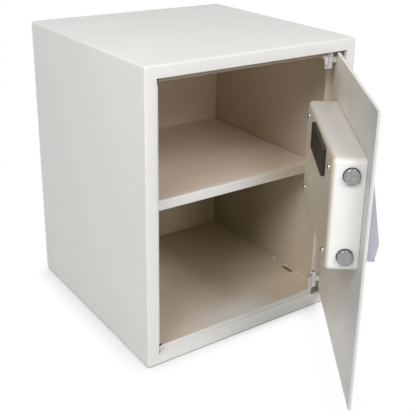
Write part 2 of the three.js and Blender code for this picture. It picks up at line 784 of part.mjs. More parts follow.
// Bolt guide: a bent bracket with a foot on the door, a wall bored for both bolts and a flange for two
// screws
function boltGuide() {
  const wallFace = coverFreeSide - guideSetback + guideFlange;
  const wallX0 = acrossX(wallFace);
  const wallX1 = acrossX(wallFace - guideSheet);
  const rearX = acrossX(wallFace - guideFlange);
  const low = coverBottom + coverSheet + guideMargin;
  const high = coverTop - coverSheet - guideMargin;
  const top = depthY(coverInner - seat);
  let guide = box(wallX0, wallX1, doorInner + seat, top, low, high);
  guide = guide.add(box(wallX0, rearX, doorInner + seat, doorInner + seat + guideSheet, low, high));
  guide = guide.add(box(wallX0, rearX, top - guideSheet, top, low, high));
  const bend = guideBendRadius;
  for (const [edge, side] of [[doorInner + seat, 1], [top, -1]]) {
    const middle = edge + side * bend;
    const corner = box(wallX0, wallX0 + bend, edge, middle, low, high);
    guide = guide.subtract(corner.subtract(barZ(bend, wallX0 + bend, middle, low, high)));
  }
  const bore = boltRadius + boltClearance;
  for (const height of boltHeights) {
    guide = guide.subtract(barX(bore, depthY(boltDepth), height, wallX0 - overrun, wallX1 + overrun));
  }
  for (const height of screwHeights) {
    const x = acrossX(screwAcross[1]);
    const deep = depthY(coverInner - coverScrewLength - overrun);
    guide = guide.subtract(smallBarY(screwHole, x, height, deep, top + overrun));
  }
  return guide;
}
door.add(named('bolt_guide', boltGuide(), zinc()));

// Locking bolts, bored across for the pegs of the rack plate
const stemLow = boltInner + carriageStemInset;
const stemHigh = stemLow + carriageStemWidth;
const stemMiddle = (stemLow + stemHigh) / 2;
const pegDepth = carriageDepth - pegLength;

function lockingBolt(height) {
  const r = boltRadius;
  const c = boltChamfer;
  const outline = [
    [0, 0],
    [r - c, 0],
    [r, c],
    [r, boltLength - c],
    [r - c, boltLength - boltDome / 2],
    [0, boltLength],
  ];
  const geometry = geometryOf(turned(outline));
  geometry.rotateZ(Math.PI / 2);
  const bolt = solid(geometry).translate([acrossX(boltInner), depthY(boltDepth), height]);
  const hole = pegRadius + pegClearance;
  const x = acrossX(stemMiddle);
  const bottom = depthY(pegDepth - pegClearance);
  return bolt.subtract(smallBarY(hole, x, height, bottom, depthY(carriageDepth + overrun)));
}
door.add(named('bolt_upper', lockingBolt(boltHeights[0]), chrome()));
door.add(named('bolt_lower', lockingBolt(boltHeights[1]), chrome()));

// Rack plate: a stem across both bolts, a toothed upper arm and a lower arm with the cam lug
const toothPitch = gearModule * Math.PI;
const addendum = gearModule;
const dedendum = gearModule * 1.25;
const pinionHeight = rackHeight - pitchRadius;
const rackRoot = rackHeight + dedendum;
const rackFirst = pinionAcross + toothPitch;
const armLeft = rackFirst - rackTeeth * toothPitch - toothPitch / 2;
const lugAcross = keyLockAcross - camWidth / 2 - lugGap - lugWidth;

function slotCut(studAcross, height) {
  const r = studRadius + slotClearance;
  const x0 = acrossX(studAcross);
  const x1 = acrossX(studAcross - boltTravel);
  const low = depthY(carriageDepth - overrun);
  const high = depthY(carriageDepth + carriageSheet + overrun);
  const first = smallBarY(r, x0, height, low, high);
  const last = smallBarY(r, x1, height, low, high);
  return first.add(last).add(box(x0, x1, low, high, height - r, height + r));
}

const upperStudAcross = coverFreeSide - upperStudSetback + boltTravel;
const lowerStudAcross = coverFreeSide - lowerStudSetback + boltTravel;

// One trapezium rack tooth pointing down, its middle at the given distance across
function rackTooth(across) {
  const slope = Math.tan(20 * degree);
  const half = toothPitch / 4 - gearBacklash / 2;
  const tip = half - addendum * slope;
  const root = half + dedendum * slope;
  const x = acrossX(across);
  const shape = new THREE.Shape();
  shape.moveTo(x - root, rackRoot);
  shape.lineTo(x - tip, rackHeight - addendum);
  shape.lineTo(x + tip, rackHeight - addendum);
  shape.lineTo(x + root, rackRoot);
  shape.lineTo(x + root, rackRoot + gearModule);
  shape.lineTo(x - root, rackRoot + gearModule);
  return slab(shape, depthY(carriageDepth), depthY(carriageDepth + carriageSheet));
}

function rackPlate() {
  const low = depthY(carriageDepth);
  const high = depthY(carriageDepth + carriageSheet);
  const bottom = boltHeights[1] - pegRadius * 2;
  const top = boltHeights[0] + pegRadius * 2;
  let plate = box(acrossX(stemHigh), acrossX(stemLow), low, high, bottom, top);
  const armTop = rackHeight + rackArmHeight;
  plate = plate.add(box(acrossX(stemHigh), acrossX(armLeft), low, high, rackRoot, armTop));
  const lowerTop = lowerArmCentre + lowerArmHeight / 2;
  const lowerBottom = lowerArmCentre - lowerArmHeight / 2;
  plate = plate.add(box(acrossX(stemHigh), acrossX(lugAcross), low, high, lowerBottom, lowerTop));
  const lugFoot = depthY(cylinderInner - seat);
  const lugX = acrossX(lugAcross);
  plate = plate.add(box(lugX - lugWidth, lugX, lugFoot, high, lowerBottom, lowerTop));
  for (let i = 0; i < rackTeeth; i += 1) {
    plate = plate.add(rackTooth(rackFirst - i * toothPitch));
  }
  for (const height of boltHeights) {
    plate = plate.add(smallBarY(pegRadius, acrossX(stemMiddle), height, depthY(pegDepth), high));
  }
  plate = plate.subtract(slotCut(upperStudAcross, upperSlotCentre));
  return plate.subtract(slotCut(lowerStudAcross, lowerArmCentre));
}
door.add(named('bolt_rack_plate', rackPlate(), zinc()));

// Shouldered guide studs with heads over the slots
function guideStud(across, height) {
  const foot = seat + basePlateSheet + seat;
  const shoulder = carriageDepth - seat;
  const neck = carriageDepth + carriageSheet + seat;
  const outline = [
    [0, foot],
    [studShoulderRadius, foot],
    [studShoulderRadius, shoulder],
    [studRadius, shoulder],
    [studRadius, neck],
    [studHeadRadius, neck],
    [studHeadRadius, neck + studHeadHeight],
    [0, neck + studHeadHeight],
  ];
  return turned(outline, smallRoundSteps).translate([acrossX(across), depthY(0), height]);
}
door.add(named('guide_stud_upper', guideStud(upperStudAcross, upperSlotCentre), zinc()));
door.add(named('guide_stud_lower', guideStud(lowerStudAcross, lowerArmCentre), zinc()));

// Gear motor: a worm gearbox on the base plate, with the motor can below it
const gearboxBase = seat + basePlateSheet + seat;
const gearboxTop = gearboxBase + gearboxDepth;
const gearboxMiddle = pinionHeight - gearboxOffset;
const gearboxLow = gearboxMiddle - gearboxHeight / 2;

function gearbox() {
  const shape = roundedShape(gearboxWidth, gearboxHeight, gearboxCornerRadius);
  const x = acrossX(pinionAcross);
  let body = slab(shape, depthY(gearboxBase), depthY(gearboxTop));
  body = body.translate([x, 0, gearboxMiddle]);
  const collarTop = depthY(gearboxTop + shaftCollarHeight);
  const low = depthY(gearboxBase);
  const collar = barY(shaftCollarRadius, x, pinionHeight, low, collarTop);
  const shaftTop = depthY(carriageDepth + carriageSheet + seat);
  const shaft = smallBarY(pinionBore - shaftClearance, x, pinionHeight, low, shaftTop);
  return body.add(collar).add(shaft);
}

function motorCan() {
  const end = gearboxLow - seat;
  const x = acrossX(pinionAcross);
  const y = depthY(gearboxBase + gearboxDepth / 2);
  const can = barZ(motorRadius, x, y, end - motorLength, end);
  return can.add(barZ(motorCapRadius, x, y, end - motorLength - motorCapHeight, end, smallRoundSteps));
}
door.add(named('motor_gearbox', gearbox(), blackPlastic()));
door.add(named('motor_can', motorCan(), zinc()));

// Rise from root to tip and half width in pitches, down one flank of a pinion tooth
const toothFlankShares = [
  [0, 0.34],
  [0.408, 0.285],
  [0.6, 0.235],
  [0.864, 0.165],
  [1, 0.09],
];

// Involute-like pinion: each tooth is a tapered stub with its flanks eased toward the tip
function pinion() {
  const outer = pitchRadius + addendum - gearBacklash;
  const root = pitchRadius - dedendum;
  const step = (2 * Math.PI) / pinionTeeth;
  const shape = new THREE.Shape();
  const flank = toothFlankShares.map(([rise, share]) => [root + rise * (outer - root), share * step]);
  const points = [];
  for (let i = 0; i < pinionTeeth; i += 1) {
    const centre = Math.PI / 2 + i * step + step / 2;
    for (const [radius, angle] of flank) {
      points.push([radius, centre - angle]);
    }
    for (const [radius, angle] of [...flank].reverse()) {
      points.push([radius, centre + angle]);
    }
  }
  for (const [i, [radius, angle]] of points.entries()) {
    const x = radius * Math.cos(angle);
    const z = radius * Math.sin(angle);
    if (i === 0) {
      shape.moveTo(x, z);
    } else {
      shape.lineTo(x, z);
    }
  }
  const middle = carriageDepth + carriageSheet / 2;
  const low = depthY(middle - pinionFace / 2);
  const high = depthY(middle + pinionFace / 2);
  const gear = slab(shape, low, high);
  const bored = gear.subtract(smallBarY(pinionBore, 0, 0, low - overrun, high + overrun));
  return bored.translate([acrossX(pinionAcross), 0, pinionHeight]);
}
door.add(named('drive_pinion', pinion(), brass()));

// Control board on its posts, with two chips and the connector of the loom
const boardTop = boardCentreHeight + boardHeight / 2;
const connectorCentre = boardTop - 2 * boardPostInset - connectorHeight / 2;

function controlBoard() {
  const x = acrossX(boardCentreAcross);
  const z = boardCentreHeight;
  const low = depthY(boardStandoff + seat);
  const top = low + boardSheet;
  let board = blockY(boardWidth, boardHeight, x, z, low, top);
  for (const side of [-1, 1]) {
    const chipX = x + (side * boardWidth) / 4;
    board = board.add(blockY(chipWidth, chipHeight, chipX, z, top - seat, top + chipDepth));
  }
  const rise = top + connectorDepth;
  return board.add(blockY(connectorWidth, connectorHeight, x, connectorCentre, top - seat, rise));
}
door.add(named('control_board', controlBoard(), boardGreen()));

// Wiring loom: from the keypad through the door, then flat along it to the control board
function loom() {
  const x0 = acrossX(loomAcross);
  const x1 = acrossX(boardCentreAcross + boardWidth / 2 + loomBend);
  const start = doorOuter - loomLead;
  const level = depthY(loomLevel);
  const end = connectorCentre;
  const connectorX = acrossX(boardCentreAcross) - connectorWidth / 2 - seat;
  const rise = depthY(boardStandoff + boardSheet + connectorDepth / 2 + 2 * seat);
  const at = (x, y, z) => new THREE.Vector3(x, y, z);
  const entry = at(x0, start, loomHeight);
  const bendStart = at(x0, level - loomBend, loomHeight);
  const bendCorner = at(x0, level, loomHeight);
  const bendEnd = at(x0 + loomBend, level, loomHeight);
  const leave = at(x1 - loomBend, level, loomHeight);
  const path = new THREE.CurvePath();
  path.add(new THREE.LineCurve3(entry, bendStart));
  path.add(new THREE.QuadraticBezierCurve3(bendStart, bendCorner, bendEnd));
  path.add(new THREE.LineCurve3(bendEnd, leave));
  const pull = at(x1, level, loomHeight);
  const push = at(x1 - loomBend, rise, end);
  path.add(new THREE.CubicBezierCurve3(leave, pull, push, at(connectorX, rise, end)));
  const section = new THREE.Shape();
  section.absarc(0, 0, loomRadius, 0, Math.PI * 2, false);
  const options = { steps: loomSteps, extrudePath: path, curveSegments: filletSteps + 1 };
  return solid(new THREE.ExtrudeGeometry(section, options));
}
door.add(named('wiring_loom', loom(), blackPlastic()));

// Battery holder: a tray with a pocket for each row of cells and a rim under the cover
const cellDepth = coverDepth + seat - holderDepth;
const rowHeights = [];
for (let row = 0; row < cellRows; row += 1) {
  const offset = (row - (cellRows - 1) / 2) * (cellPitch + holderWall);
  rowHeights.push(batteryCentreHeight + offset);
}

function batteryHolder() {
  const x = acrossX(batteryCentreAcross);
  const z = batteryCentreHeight;
  const floor = depthY(cellDepth);
  const top = depthY(coverDepth);
  let tray = blockY(holderWidth, holderHeight, x, z, floor, top);
  const rimTop = depthY(coverInner - seat);
  const rimWidth = holderWidth + 2 * holderRim;
  const rimHeight = holderHeight + 2 * holderRim;
  tray = tray.add(blockY(rimWidth, rimHeight, x, z, rimTop - holderRimSheet, rimTop));
  const pocketWidth = holderWidth - 2 * holderWall;
  for (const height of rowHeights) {
    tray = tray.subtract(blockY(pocketWidth, cellPitch, x, height, floor + holderWall, top + overrun));
  }
  return tray;
}
door.add(named('battery_holder', batteryHolder(), blackPlastic()));

function cell(place, row, flip) {
  const outline = [
    [0, 0],
    [cellRadius, 0],
    [cellRadius, cellLength],
    [cellNubRadius, cellLength],
    [cellNubRadius, cellLength + cellNubHeight],
    [0, cellLength + cellNubHeight],
  ];
  const geometry = geometryOf(turned(outline, smallRoundSteps));
  geometry.rotateZ(flip ? -Math.PI / 2 : Math.PI / 2);
  const span = cellLength + cellNubHeight;
  const start = acrossX(batteryCentreAcross) + (place - cellsPerRow / 2) * span;
  const x = flip ? start : start + span;
  const y = depthY(cellDepth + holderWall + cellClearance + cellRadius);
  return solid(geometry).translate([x, y, rowHeights[row]]);
}
for (let row = 0; row < cellRows; row += 1) {
  for (let place = 0; place < cellsPerRow; place += 1) {
    const name = `battery_${row * cellsPerRow + place + 1}`;
    const gap = (place - (cellsPerRow - 1) / 2) * cellClearance;
    door.add(named(name, cell(place, row, row % 2 === 1).translate([gap, 0, 0]), blackPlastic()));
  }
}

// Battery lid: a shallow plate proud of the cover, with grip ribs at one end
const lidWidth = holderWidth + 2 * lidEndMargin;
const lidHeight = holderHeight + 2 * lidSideMargin;

function batteryLid() {
  const length = lidProud;
  const block = softBlock(lidWidth, lidHeight, 0, length, lidCornerRadius, lidEdgeRadius).mirror([0, 1, 0]);
  const x = acrossX(batteryCentreAcross);
  const base = depthY(coverDepth + seat);
  let lid = block.translate([x, base + length, batteryCentreHeight]);
  const ribLength = lidHeight * lidRibLengthShare;
  const top = base + length;
  const z = batteryCentreHeight;
  for (let i = 0; i < lidRibs; i += 1) {
    const ribX = x + lidWidth * lidRibPlaceShare + (i - (lidRibs - 1) / 2) * lidRibPitch;
    lid = lid.subtract(blockY(lidRibWidth, ribLength, ribX, z, top - lidRibDepth, top + overrun));
  }
  return lid;
}
door.add(named('battery_lid', batteryLid(), blackPlastic()));

// Slope of the keypad housing, and its thickness at a height
const slopeRise = housingTop - shoulder;
const slopeRun = housingThickness - housingTopThickness;
const slopeAngle = Math.atan2(slopeRun, slopeRise);
const thicknessAt = (height) => housingThickness - (slopeRun * (height - shoulder)) / slopeRise;

// Emergency lock cylinder, its plug with the keyway, and the cam that draws the bolts back. The front of
// the cylinder stays just behind the sloping face of the housing.
const cylinderTopThickness = thicknessAt(keyLockHeight + cylinderRadius);
const cylinderFront = doorOuter - seat - cylinderTopThickness + cylinderSetback;

function lockCylinder() {
  const x = acrossX(keyLockAcross);
  const front = cylinderFront;
  const back = depthY(cylinderInner);
  const tube = barY(cylinderRadius, x, keyLockHeight, front, back);
  const bore = cylinderRadius - cylinderWall;
  return tube.subtract(barY(bore, x, keyLockHeight, front - overrun, back + overrun));
}
door.add(named('lock_cylinder', lockCylinder(), chrome()));

function keyPlug() {
  const x = acrossX(keyLockAcross);
  const z = keyLockHeight;
  const front = cylinderFront;
  const camBase = depthY(cylinderInner + seat);
  const radius = cylinderRadius - cylinderWall - plugClearance;
  let plug = barY(radius, x, z, front, camBase - seat);
  const nutBase = camBase + camSheet + seat;
  plug = plug.add(smallBarY(camSpigotRadius, x, z, front, nutBase + camNutHeight));
  plug = plug.add(barY(camNutRadius, x, z, nutBase, nutBase + camNutHeight, hexagon));
  return plug.subtract(blockY(keywayWidth, keywayHeight, x, z, front - overrun, front + keywayDepth));
}

function lockCam() {
  const x = acrossX(keyLockAcross);
  const z = keyLockHeight;
  const low = depthY(cylinderInner + seat);
  const high = low + camSheet;
  const half = camWidth / 2;
  let cam = barY(camNutRadius + cylinderWall / 2, x, z, low, high);
  cam = cam.add(box(x - camLength + half, x, low, high, z - half, z + half));
  cam = cam.add(smallBarY(half, x - camLength + half, z, low, high));
  const bore = camSpigotRadius + plugClearance;
  return cam.subtract(smallBarY(bore, x, z, low - overrun, high + overrun));
}
door.add(named('key_plug', keyPlug(), chrome()));
door.add(named('lock_cam', lockCam(), zinc()));

// Keypad housing: a wedge extruded along the door, hollow behind. Its profile is drawn as thickness and
// height, and is drawn in on all its sides by a margin
function housingProfile(inset) {
  const lean = inset / Math.cos(slopeAngle);
  const chin = housingBottom + housingChinHeight;
  const flat = Math.hypot(shoulder - chin, housingThickness - housingChinThickness) / (shoulder - chin);
  const top = housingTop - inset;
  const points = [
    [0, housingBottom + inset],
    [housingChinThickness - inset * flat, housingBottom + inset],
    [housingChinThickness - inset * flat, chin],
    [housingThickness - lean, shoulder],
    [thicknessAt(top) - lean, top],
    [0, top],
  ];
  const shape = new THREE.Shape();
  for (const [i, [thick, height]] of points.entries()) {
    if (i === 0) {
      shape.moveTo(thick, height);
    } else {
      shape.lineTo(thick, height);
    }
  }
  return shape;
}

function extrudedAlongX(shape, width, edge) {
  const geometry = new THREE.ExtrudeGeometry(shape, {
    depth: width - 2 * edge,
    bevelEnabled: edge > 0,
    bevelThickness: edge,
    bevelSize: edge,
    bevelOffset: -edge,
    bevelSegments: keyFilletSteps,
  });
  geometry.translate(0, 0, edge - width / 2);
  geometry.rotateX(Math.PI / 2);
  geometry.rotateZ(-Math.PI / 2);
  return solid(geometry);
}

// The sloping face as its own frame: local Y points into the housing and Z runs up the slope
const face = new THREE.Group();
const faceHeight = (housingTop + shoulder) / 2;
const faceY = doorOuter - seat - thicknessAt(faceHeight);
const facePoint = new THREE.Vector3(acrossX(keypadAcross), faceY, faceHeight);
face.position.copy(facePoint);
face.rotation.x = -slopeAngle;
door.add(face);
const faceZ = (height) => (height - faceHeight) / Math.cos(slopeAngle);
const faceX = (across) => acrossX(across) - acrossX(keypadAcross);

function toFace(shape) {
  const turn = new THREE.Matrix4().makeRotationX(-slopeAngle).setPosition(facePoint);
  const geometry = geometryOf(shape);
  geometry.applyMatrix4(turn);
  return solid(geometry);
}

const keyPlaces = [];
const keyLabels = ['1', '2', '3', '4', '5', '6', '7', '8', '9', 'clear', '0', 'enter'];
for (let row = 0; row < keyRows; row += 1) {
  for (let column = 0; column < keyColumns; column += 1) {
    const x = (column - (keyColumns - 1) / 2) * keyPitchX;
    const z = faceZ(keypadHeight) + ((keyRows - 1) / 2 - row) * keyPitchZ;
    keyPlaces.push({ label: keyLabels[row * keyColumns + column], x, z });
  }
}
const platePivotZ = faceZ(keyLockHeight) + platePivotRise;
const lensPlaces = [-1, 1].map((side) => [(side * lensSpacing) / 2, faceZ(lensHeight)]);

function keypadHousing() {
  const y = doorOuter - seat;
  const outer = extrudedAlongX(housingProfile(0), housingWidth, housingSideRadius);
  const inner = extrudedAlongX(housingProfile(housingWall), housingWidth - 2 * housingWall, 0);
  const open = inner.add(inner.translate([0, housingWall * 2, 0]));
  let housing = outer.subtract(open).translate([acrossX(housingAcross), y, 0]);
  const w = keyWidth + 2 * keyClearance;
  const h = keyHeight + 2 * keyClearance;
  const deep = housingWall + keyFlangeSheet;
  for (const { x, z } of keyPlaces) {
    const hole = slab(roundedShape(w, h, keyRadius + keyClearance), -overrun, deep, keyFilletSteps);
    housing = housing.subtract(toFace(hole.translate([x, 0, z])));
  }
  for (const [x, z] of lensPlaces) {
    housing = housing.subtract(toFace(smallBarY(lensRadius + lensClearance, x, z, -overrun, deep)));
  }
  const pivotHole = platePinRadius + lensClearance;
  const pinX = faceX(keyLockAcross);
  housing = housing.subtract(toFace(smallBarY(pivotHole, pinX, platePivotZ, -overrun, deep)));
  const x = acrossX(keyLockAcross);
  const front = doorOuter - 2 * housingThickness;
  return housing.subtract(barY(cylinderHole, x, keyLockHeight, front, doorOuter));
}
door.add(named('keypad_housing', keypadHousing(), greyPlastic()));

// Keys: a cap through the housing with a retaining flange behind it
function keyCap() {
  const back = housingWall + seat + keyFlangeSheet;
  const cap = softBlock(keyWidth, keyHeight, -keyProud, back, keyRadius, keyEdgeRadius, keyFilletSteps);
  const w = keyWidth + 2 * keyFlange;
  const h = keyHeight + 2 * keyFlange;
  const low = housingWall + seat;
  return cap.add(slab(roundedShape(w, h, keyRadius), low, back, keyFilletSteps));
}
for (const { label, x, z } of keyPlaces) {
  face.add(named(`key_${label}`, keyCap().translate([x, 0, z]), keyPlastic()));
}

// Circuit board of the keypad, behind the travel of the keys
function keypadBoard() {
  const w = keypadHalfWidth;
  const h = keypadHalfHeight;
  const low = housingWall + seat + keyFlangeSheet + keyTravel + seat;
  const z = faceZ(keypadHeight);
  return box(-w, w, low, low + keypadBoardSheet, z - h, z + h);
}
face.add(named('keypad_board', keypadBoard(), boardGreen()));

// Lenses pushed in from outside
const lensNames = ['lens_red', 'lens_green'];
const lensColours = [0xa03028, 0x3c8a46];
for (const [i, [x, z]] of lensPlaces.entries()) {
  const outline = [
    [0, -lensProud],
    [lensRadius * lensCrownShare, -lensProud],
    [lensRadius, -lensProud * lensShoulderShare],
    [lensRadius, lensLength - lensProud],
    [0, lensLength - lensProud],
  ];
  const body = turned(outline, smallRoundSteps);
  const colour = new THREE.MeshStandardMaterial({ color: lensColours[i], roughness: 0.2, metalness: 0 });
  face.add(named(lensNames[i], body.translate([x, 0, z]), colour));
}

// Plate that hangs over the keyhole and swings aside on its pin
function keyholePlate() {
  const x = faceX(keyLockAcross);
  const low = -plateGap - plateSheet;
  const high = -plateGap;
  const discZ = platePivotZ - platePivotRise;
  const disc = barY(plateDiscRadius, x, discZ, low, high);
  const ear = barY(plateEarRadius, x, platePivotZ, low, high, smallRoundSteps);
  const neck = box(x - plateEarRadius, x + plateEarRadius, low, high, discZ, platePivotZ);
  const pin = barY(platePinRadius, x, platePivotZ, low, platePinLength, smallRoundSteps);
  return disc.add(ear).add(neck).add(pin);
}
face.add(named('keyhole_plate', keyholePlate(), greyPlastic()));

export default safe;
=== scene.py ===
# Looks of an electronic safe with its door open: materials, small parts, light and camera.
# Places and sizes of the safe are in millimetres, and MM brings them to the frame's metres.
# Scales of grain in materials are per metre. Depths of grain and the studio around the safe are in metres.
import json
import math

import bmesh
import bpy
from mathutils import Matrix, Vector, noise


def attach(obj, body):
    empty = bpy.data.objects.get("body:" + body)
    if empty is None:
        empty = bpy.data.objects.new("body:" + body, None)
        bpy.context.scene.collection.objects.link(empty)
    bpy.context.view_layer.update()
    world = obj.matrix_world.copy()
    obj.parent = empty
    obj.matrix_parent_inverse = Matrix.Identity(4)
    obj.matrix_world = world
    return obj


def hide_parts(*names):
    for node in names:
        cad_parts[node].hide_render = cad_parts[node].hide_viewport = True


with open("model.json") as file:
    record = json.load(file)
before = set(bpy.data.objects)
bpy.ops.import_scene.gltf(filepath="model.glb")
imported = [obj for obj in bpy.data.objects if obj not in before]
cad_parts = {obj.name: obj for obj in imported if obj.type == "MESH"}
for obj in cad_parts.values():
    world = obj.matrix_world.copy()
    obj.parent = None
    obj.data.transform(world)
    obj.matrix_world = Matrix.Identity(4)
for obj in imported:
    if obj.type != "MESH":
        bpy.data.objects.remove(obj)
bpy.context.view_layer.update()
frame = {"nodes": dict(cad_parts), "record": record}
scene = bpy.context.scene

MM = 0.001
X, Y, Z = (1, 0, 0), (0, 1, 0), (0, 0, 1)

# Camera at the photograph's viewing angle, in metres and degrees
EYE = Vector((-0.6436, -0.9732, 0.6724))
YAW = math.radians(35.132)
PITCH = math.radians(-20.708)
ROLL = math.radians(1.024)
LENS = 64.82
SENSOR = 36
SHIFT_Y = -0.1154
FAR_LIMIT = 50


def place_camera():
    forward = Vector((math.cos(PITCH) * math.sin(YAW), math.cos(PITCH) * math.cos(YAW), math.sin(PITCH)))
    level_right = forward.cross(Vector(Z)).normalized()
    level_up = level_right.cross(forward)
    right = level_right * math.cos(ROLL) + level_up * math.sin(ROLL)
    up = level_up * math.cos(ROLL) - level_right * math.sin(ROLL)
    data = bpy.data.cameras.new("camera")
    data.lens = LENS
    data.sensor_width = SENSOR
    data.shift_y = SHIFT_Y
    data.clip_end = FAR_LIMIT
    camera = bpy.data.objects.new("camera", data)
    turn = Matrix((right, up, -forward)).transposed()
    camera.matrix_world = Matrix.Translation(EYE) @ turn.to_4x4()
    scene.collection.objects.link(camera)
    scene.camera = camera


# Sockets of the colour mix node: its mask, its two colours and their mix
MIX_INPUTS = (0, 6, 7)
MIX_RESULT = 2
OPAQUE = 1.0


class Nodes:
    """A node tree, emptied, and short ways to fill it."""

    def __init__(self, tree):
        self.tree = tree
        tree.nodes.clear()

    def add(self, kind, **settings):
        node = self.tree.nodes.new(kind)
        for key, value in settings.items():
            setattr(node, key, value)
        return node

    def link(self, source, target):
        self.tree.links.new(source, target)

    def feed(self, socket, value):
        """A number or a colour is set on the socket, and another node's output is linked to it."""
        if isinstance(value, (int, float)):
            socket.default_value = value
        elif isinstance(value, tuple):
            socket.default_value = (*value, OPAQUE)
        else:
            self.link(value, socket)

    def math(self, operation, *values):
        node = self.add("ShaderNodeMath", operation=operation)
        for socket, value in zip(node.inputs, values):
            self.feed(socket, value)
        return node.outputs[0]

    def blend(self, mask, first, second):
        """The first surface where the mask is zero, the second where it is one."""
        node = self.add("ShaderNodeMixShader")
        for socket, source in zip(node.inputs, (mask, first, second)):
            self.link(source, socket)
        return node.outputs[0]

    def seen_clearly(self):
        """One for what is seen straight, in a mirror or through glass, and zero for the light it gives."""
        path = self.add("ShaderNodeLightPath")
        seen = self.math("MAXIMUM", path.outputs["Is Camera Ray"], path.outputs["Is Glossy Ray"])
        return self.math("MAXIMUM", seen, path.outputs["Is Transmission Ray"])


class Shader(Nodes):
    """A material with a principled surface, in the coordinates of the object that wears it."""

    def __init__(self, name):
        self.material = bpy.data.materials.new(name)
        self.material.use_nodes = True
        super().__init__(self.material.node_tree)
        self.output = self.add("ShaderNodeOutputMaterial")
        self.bsdf = self.add("ShaderNodeBsdfPrincipled")
        self.link(self.bsdf.outputs[0], self.output.inputs["Surface"])
        self.coords = self.add("ShaderNodeTexCoord").outputs["Object"]

    def set(self, **values):
        for key, value in values.items():
            self.bsdf.inputs[key.replace("_", " ")].default_value = value

    def stretched(self, scale):
        mapping = self.add("ShaderNodeMapping")
        mapping.inputs["Scale"].default_value = scale
        self.link(self.coords, mapping.inputs["Vector"])
        return mapping.outputs["Vector"]

    def noise(self, scale, detail=2.0, rough=0.5, vector=None):
        node = self.add("ShaderNodeTexNoise")
        node.inputs["Scale"].default_value = scale
        node.inputs["Detail"].default_value = detail
        node.inputs["Roughness"].default_value = rough
        self.link(vector or self.coords, node.inputs["Vector"])
        return node.outputs["Fac"]

    def spread(self, value, low=0.0, high=1.0, start=0.3, end=0.7):
        node = self.add("ShaderNodeMapRange")
        node.inputs["From Min"].default_value = start
        node.inputs["From Max"].default_value = end
        node.inputs["To Min"].default_value = low
        node.inputs["To Max"].default_value = high
        self.link(value, node.inputs["Value"])
        return node.outputs["Result"]

    def mix(self, mask, first, second):
        node = self.add("ShaderNodeMix", data_type="RGBA")
        sockets = [node.inputs[i] for i in MIX_INPUTS]
        for socket, value in zip(sockets, (mask, first, second)):
            self.feed(socket, value)
        return node.outputs[MIX_RESULT]

    def toned(self, mask, colour, tones):
        """A colour that goes between two tones of itself."""
        return self.mix(mask, *(times(colour, tone) for tone in tones))

    def openness(self, distance, samples):
        """One in the open, and less where something stands within the distance."""
        node = self.add("ShaderNodeAmbientOcclusion", samples=samples)
        node.inputs["Distance"].default_value = distance
        return node.outputs["AO"]

    def hollows(self, distance):
        """One in the creases where sheets meet, and zero in the open."""
        return self.spread(self.openness(distance, samples=6), low=1.0, high=0.0, start=0.25, end=0.9)

    def bump(self, height, strength, distance, normal=None):
        node = self.add("ShaderNodeBump")
        node.inputs["Strength"].default_value = strength
        node.inputs["Distance"].default_value = distance
        self.link(height, node.inputs["Height"])
        if normal is not None:
            self.link(normal, node.inputs["Normal"])
        return node.outputs["Normal"]

    def finish(self, colour, roughness, normal):
        self.link(colour, self.bsdf.inputs["Base Color"])
        self.link(roughness, self.bsdf.inputs["Roughness"])
        self.link(normal, self.bsdf.inputs["Normal"])
        return self.material


def times(colour, factor):
    return tuple(min(1.0, c * factor) for c in colour)


# Zones of paint: places where one tint of painted light and shade gives way to another
STEP = 0.2


def limit(direction, start, end):
    """A zone that starts at one distance along a direction and is full at another."""
    return (tuple(direction), start * MM, end * MM)


def room(low, high):
    """Six sharp limits of a box."""
    limits = []
    for axis, least, most in zip((X, Y, Z), low, high):
        limits += [limit(axis, least, least + STEP), limit(axis, most, most - STEP)]
    return limits


def zone_mask(shader, limits):
    """One where every limit is passed."""
    mask = None
    for direction, start, end in limits:
        reach = shader.add("ShaderNodeVectorMath", operation="DOT_PRODUCT")
        shader.link(shader.coords, reach.inputs[0])
        reach.inputs[1].default_value = direction
        passed = shader.spread(reach.outputs["Value"], start=start, end=end)
        mask = passed if mask is None else shader.math("MULTIPLY", mask, passed)
    return mask


# Powder paint: clouds and specks of tone, painted shade in the creases, waves and orange peel in the surface
CLOUD_SCALE = 7
CLOUD_TONES = (0.97, 1.02)
TINT_TONES = (0.95, 1.04)
SPECK_SCALE = 1500
SPECK_TONE = 0.86
SPECK_SHARE = 0.10
CREASE_REACH = 0.007
CREASE_SHARE = 0.5
CREASE_TONES = (0.6, 0.564, 0.504)
SHEEN_SCALE = 40
SHEEN = (0.37, 0.49)
WAVE_SCALE = 9
WAVE_DEPTH = 0.0007
PEEL_SCALE = 620
PEEL_DEPTH = 0.0002


def painted(name, colour, *zones):
    """Paint of one colour, with painted shade in its creases and a tint of painted light and shade of its
    own in each zone.
    """
    s = Shader(name)
    cloud = s.spread(s.noise(CLOUD_SCALE, detail=3))
    base = s.toned(cloud, colour, CLOUD_TONES)
    for tint, limits in zones:
        base = s.mix(zone_mask(s, limits), base, s.toned(cloud, tint, TINT_TONES))
    speck = s.spread(s.noise(SPECK_SCALE, detail=1), start=0.35, end=0.75)
    base = s.mix(s.math("MULTIPLY", speck, SPECK_SHARE), base, times(colour, SPECK_TONE))
    # Painted shade: the paint darkens in the creases where sheets meet
    crease_shade = tuple(c * tone for c, tone in zip(colour, CREASE_TONES))
    base = s.mix(s.math("MULTIPLY", s.hollows(CREASE_REACH), CREASE_SHARE), base, crease_shade)
    rough = s.spread(s.noise(SHEEN_SCALE, detail=4), *SHEEN)
    waves = s.bump(s.noise(WAVE_SCALE, detail=1), strength=0.35, distance=WAVE_DEPTH)
    peel = s.bump(s.noise(PEEL_SCALE, rough=0.6), strength=0.16, distance=PEEL_DEPTH, normal=waves)
    s.set(IOR=1.5)
    return s.finish(base, rough, peel)


